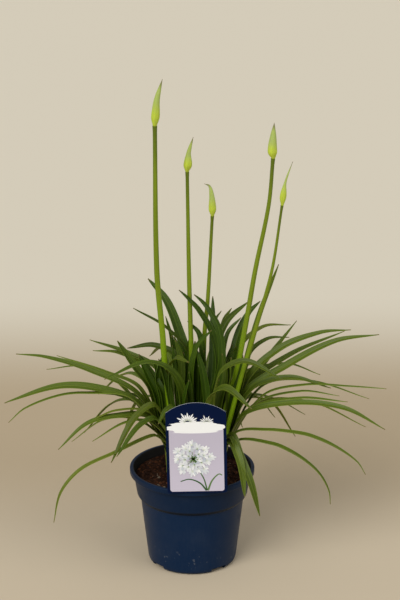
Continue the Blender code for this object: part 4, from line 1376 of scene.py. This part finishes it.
def draw_fans(chance, petals):
    """Two small half rounds of petals above the band."""
    for middle, rise, size, count in ((-11, 100.5, 1.0, 11), (14, 100.0, 0.72, 9)):
        for number in range(count):
            turn = math.radians(12 + 156 * number / (count - 1))
            start = Vector((middle, rise)) + direction(turn) * 3 * size
            length = size * (12.5 if number % 2 else 9.0) * chance.uniform(0.85, 1.1)
            petals.append(petal(start, turn, length, 2.3 * size, 0.45 + 0.01 * number, 1.0))


def build_label():
    edge = plain_material("card_edge", settings("label").edge, 0.5)
    build_card(edge)
    build_tongue(edge)
    chance = random.Random(21)
    petals, greens = [], draw_leaves()
    draw_head(chance, petals, greens)
    draw_fans(chance, petals)
    printed("label_flower", petals, petal_material())
    printed("label_stalks", greens, stalk_material())


# Studio


def soft_light(name, side, spread, strength):
    """A broad light from one side, as even over the far floor as over the plant."""
    light = bpy.data.lights.new(name, "SUN")
    light.angle = math.radians(spread)
    light.energy = strength
    light.color = SUNLIGHT
    made = bpy.data.objects.new(name, light)
    bpy.context.scene.collection.objects.link(made)
    made.location = Vector(side) * 2
    made.rotation_euler = Vector(side).to_track_quat("Z", "Y").to_euler()


def build_floor(own):
    """A wide sheet of paper, darker behind the pot and paler again far away: painted shade, as the studio light
    falls across it.
    """
    deselect()
    bpy.ops.mesh.primitive_grid_add(x_subdivisions=24, y_subdivisions=24, size=24, location=(0, 0, 0))
    floor = bpy.context.object
    floor.name = "studio_floor"
    made, tree, shader = new_material("studio_paper")
    place = own_place(tree)
    depth = parts_of(tree, place)[1]
    away = vector_of(tree, "LENGTH", place, result="Value")
    # Painted shade: the band behind the pot is painted darker, and the far floor paler.
    coloured = blend_colours(tree, fade(tree, depth, 0.0, 0.36), own.near, own.mid_floor_shade)
    pale = math_of(tree, "MAXIMUM", fade(tree, depth, 0.55, 1.12), fade(tree, away, 0.95, 1.7))
    surface(tree, shader, blend_colours(tree, pale, coloured, own.far), 0.9, 0.1)
    floor.data.materials.append(made)


def build_air(own):
    """Even light from all round, while the camera sees the wall's colour."""
    world = bpy.data.worlds.new("studio_air")
    bpy.context.scene.world = world
    world.use_nodes = True
    tree = world.node_tree
    air = tree.nodes["Background"]
    air.inputs["Color"].default_value = own.air
    air.inputs["Strength"].default_value = 0.38
    wall = add(tree, "ShaderNodeBackground", {"Color": own.wall, "Strength": 1.0})
    seen = add(tree, "ShaderNodeLightPath").outputs["Is Camera Ray"]
    both = add(tree, "ShaderNodeMixShader", {0: seen, 1: air.outputs[0], 2: wall.outputs[0]})
    tree.links.new(both.outputs[0], tree.nodes["World Output"].inputs["Surface"])


def build_camera(own):
    camera = bpy.data.cameras.new("camera")
    camera.sensor_width = 36
    camera.lens = own.lens
    camera.clip_end = 100
    made = bpy.data.objects.new("camera", camera)
    bpy.context.scene.collection.objects.link(made)
    made.location = CAMERA_PLACE
    made.rotation_euler = (math.pi / 2 - own.pitch, 0, 0)
    bpy.context.scene.camera = made


def build_studio():
    own = settings("studio")
    build_floor(own)
    build_air(own)
    soft_light("key", (-0.6, -0.95, 0.9), 38, 2.1)
    soft_light("fill", (0.9, -0.6, 1.0), 45, 0.75)
    bpy.context.scene.view_settings.view_transform = "Standard"
    build_camera(own)


# Operators


class AGAPANTHUS_OT_studio(bpy.types.Operator):
    """Make the floor, the soft lights and the camera"""

    bl_idname = "agapanthus.studio"
    bl_label = "Studio"

    def execute(self, context):
        build_studio()
        return {"FINISHED"}


class AGAPANTHUS_OT_leaves(bpy.types.Operator):
    """Make the strap leaves and their sheaths"""

    bl_idname = "agapanthus.leaves"
    bl_label = "Leaves"

    def execute(self, context):
        build_leaves()
        return {"FINISHED"}


class AGAPANTHUS_OT_stems(bpy.types.Operator):
    """Make the flower stems"""

    bl_idname = "agapanthus.stems"
    bl_label = "Flower Stems"

    def execute(self, context):
        build_stems()
        return {"FINISHED"}


class AGAPANTHUS_OT_buds(bpy.types.Operator):
    """Make the closed buds"""

    bl_idname = "agapanthus.buds"
    bl_label = "Buds"

    def execute(self, context):
        build_buds()
        return {"FINISHED"}


class AGAPANTHUS_OT_pot(bpy.types.Operator):
    """Make the pot"""

    bl_idname = "agapanthus.pot"
    bl_label = "Pot"

    def execute(self, context):
        build_pot()
        return {"FINISHED"}


class AGAPANTHUS_OT_soil(bpy.types.Operator):
    """Make the soil and its loose crumbs"""

    bl_idname = "agapanthus.soil"
    bl_label = "Soil"

    def execute(self, context):
        build_soil()
        return {"FINISHED"}


class AGAPANTHUS_OT_label(bpy.types.Operator):
    """Make the printed label"""

    bl_idname = "agapanthus.label"
    bl_label = "Label"

    def execute(self, context):
        build_label()
        return {"FINISHED"}


OPERATORS = (
    AGAPANTHUS_OT_studio,
    AGAPANTHUS_OT_pot,
    AGAPANTHUS_OT_soil,
    AGAPANTHUS_OT_label,
    AGAPANTHUS_OT_leaves,
    AGAPANTHUS_OT_stems,
    AGAPANTHUS_OT_buds,
)


class AGAPANTHUS_PT_panel(bpy.types.Panel):
    """Settings and steps of the potted agapanthus"""

    bl_idname = "AGAPANTHUS_PT_panel"
    bl_label = "Agapanthus"
    bl_space_type = "VIEW_3D"
    bl_region_type = "UI"
    bl_category = "Agapanthus"

    def draw(self, context):
        for kind, group in SETTINGS.items():
            box = self.layout.box()
            box.label(text=kind.title())
            for name in group.__annotations__:
                box.prop(settings(kind), name)
        for operator in OPERATORS:
            self.layout.operator(operator.bl_idname)


def register():
    for made in (*SETTINGS.values(), *OPERATORS, AGAPANTHUS_PT_panel):
        bpy.utils.register_class(made)
    for kind, group in SETTINGS.items():
        setattr(bpy.types.Scene, f"agapanthus_{kind}", PointerProperty(type=group))


def unregister():
    for kind in SETTINGS:
        delattr(bpy.types.Scene, f"agapanthus_{kind}")
    for made in (AGAPANTHUS_PT_panel, *reversed(OPERATORS), *reversed(SETTINGS.values())):
        bpy.utils.unregister_class(made)


def main():
    register()
    make_grain_group()
    make_mottle_group()
    make_round_panel_group()
    for operator in OPERATORS:
        group, name = operator.bl_idname.split(".")
        getattr(getattr(bpy.ops, group), name)()


if __name__ == "__main__":
    main()
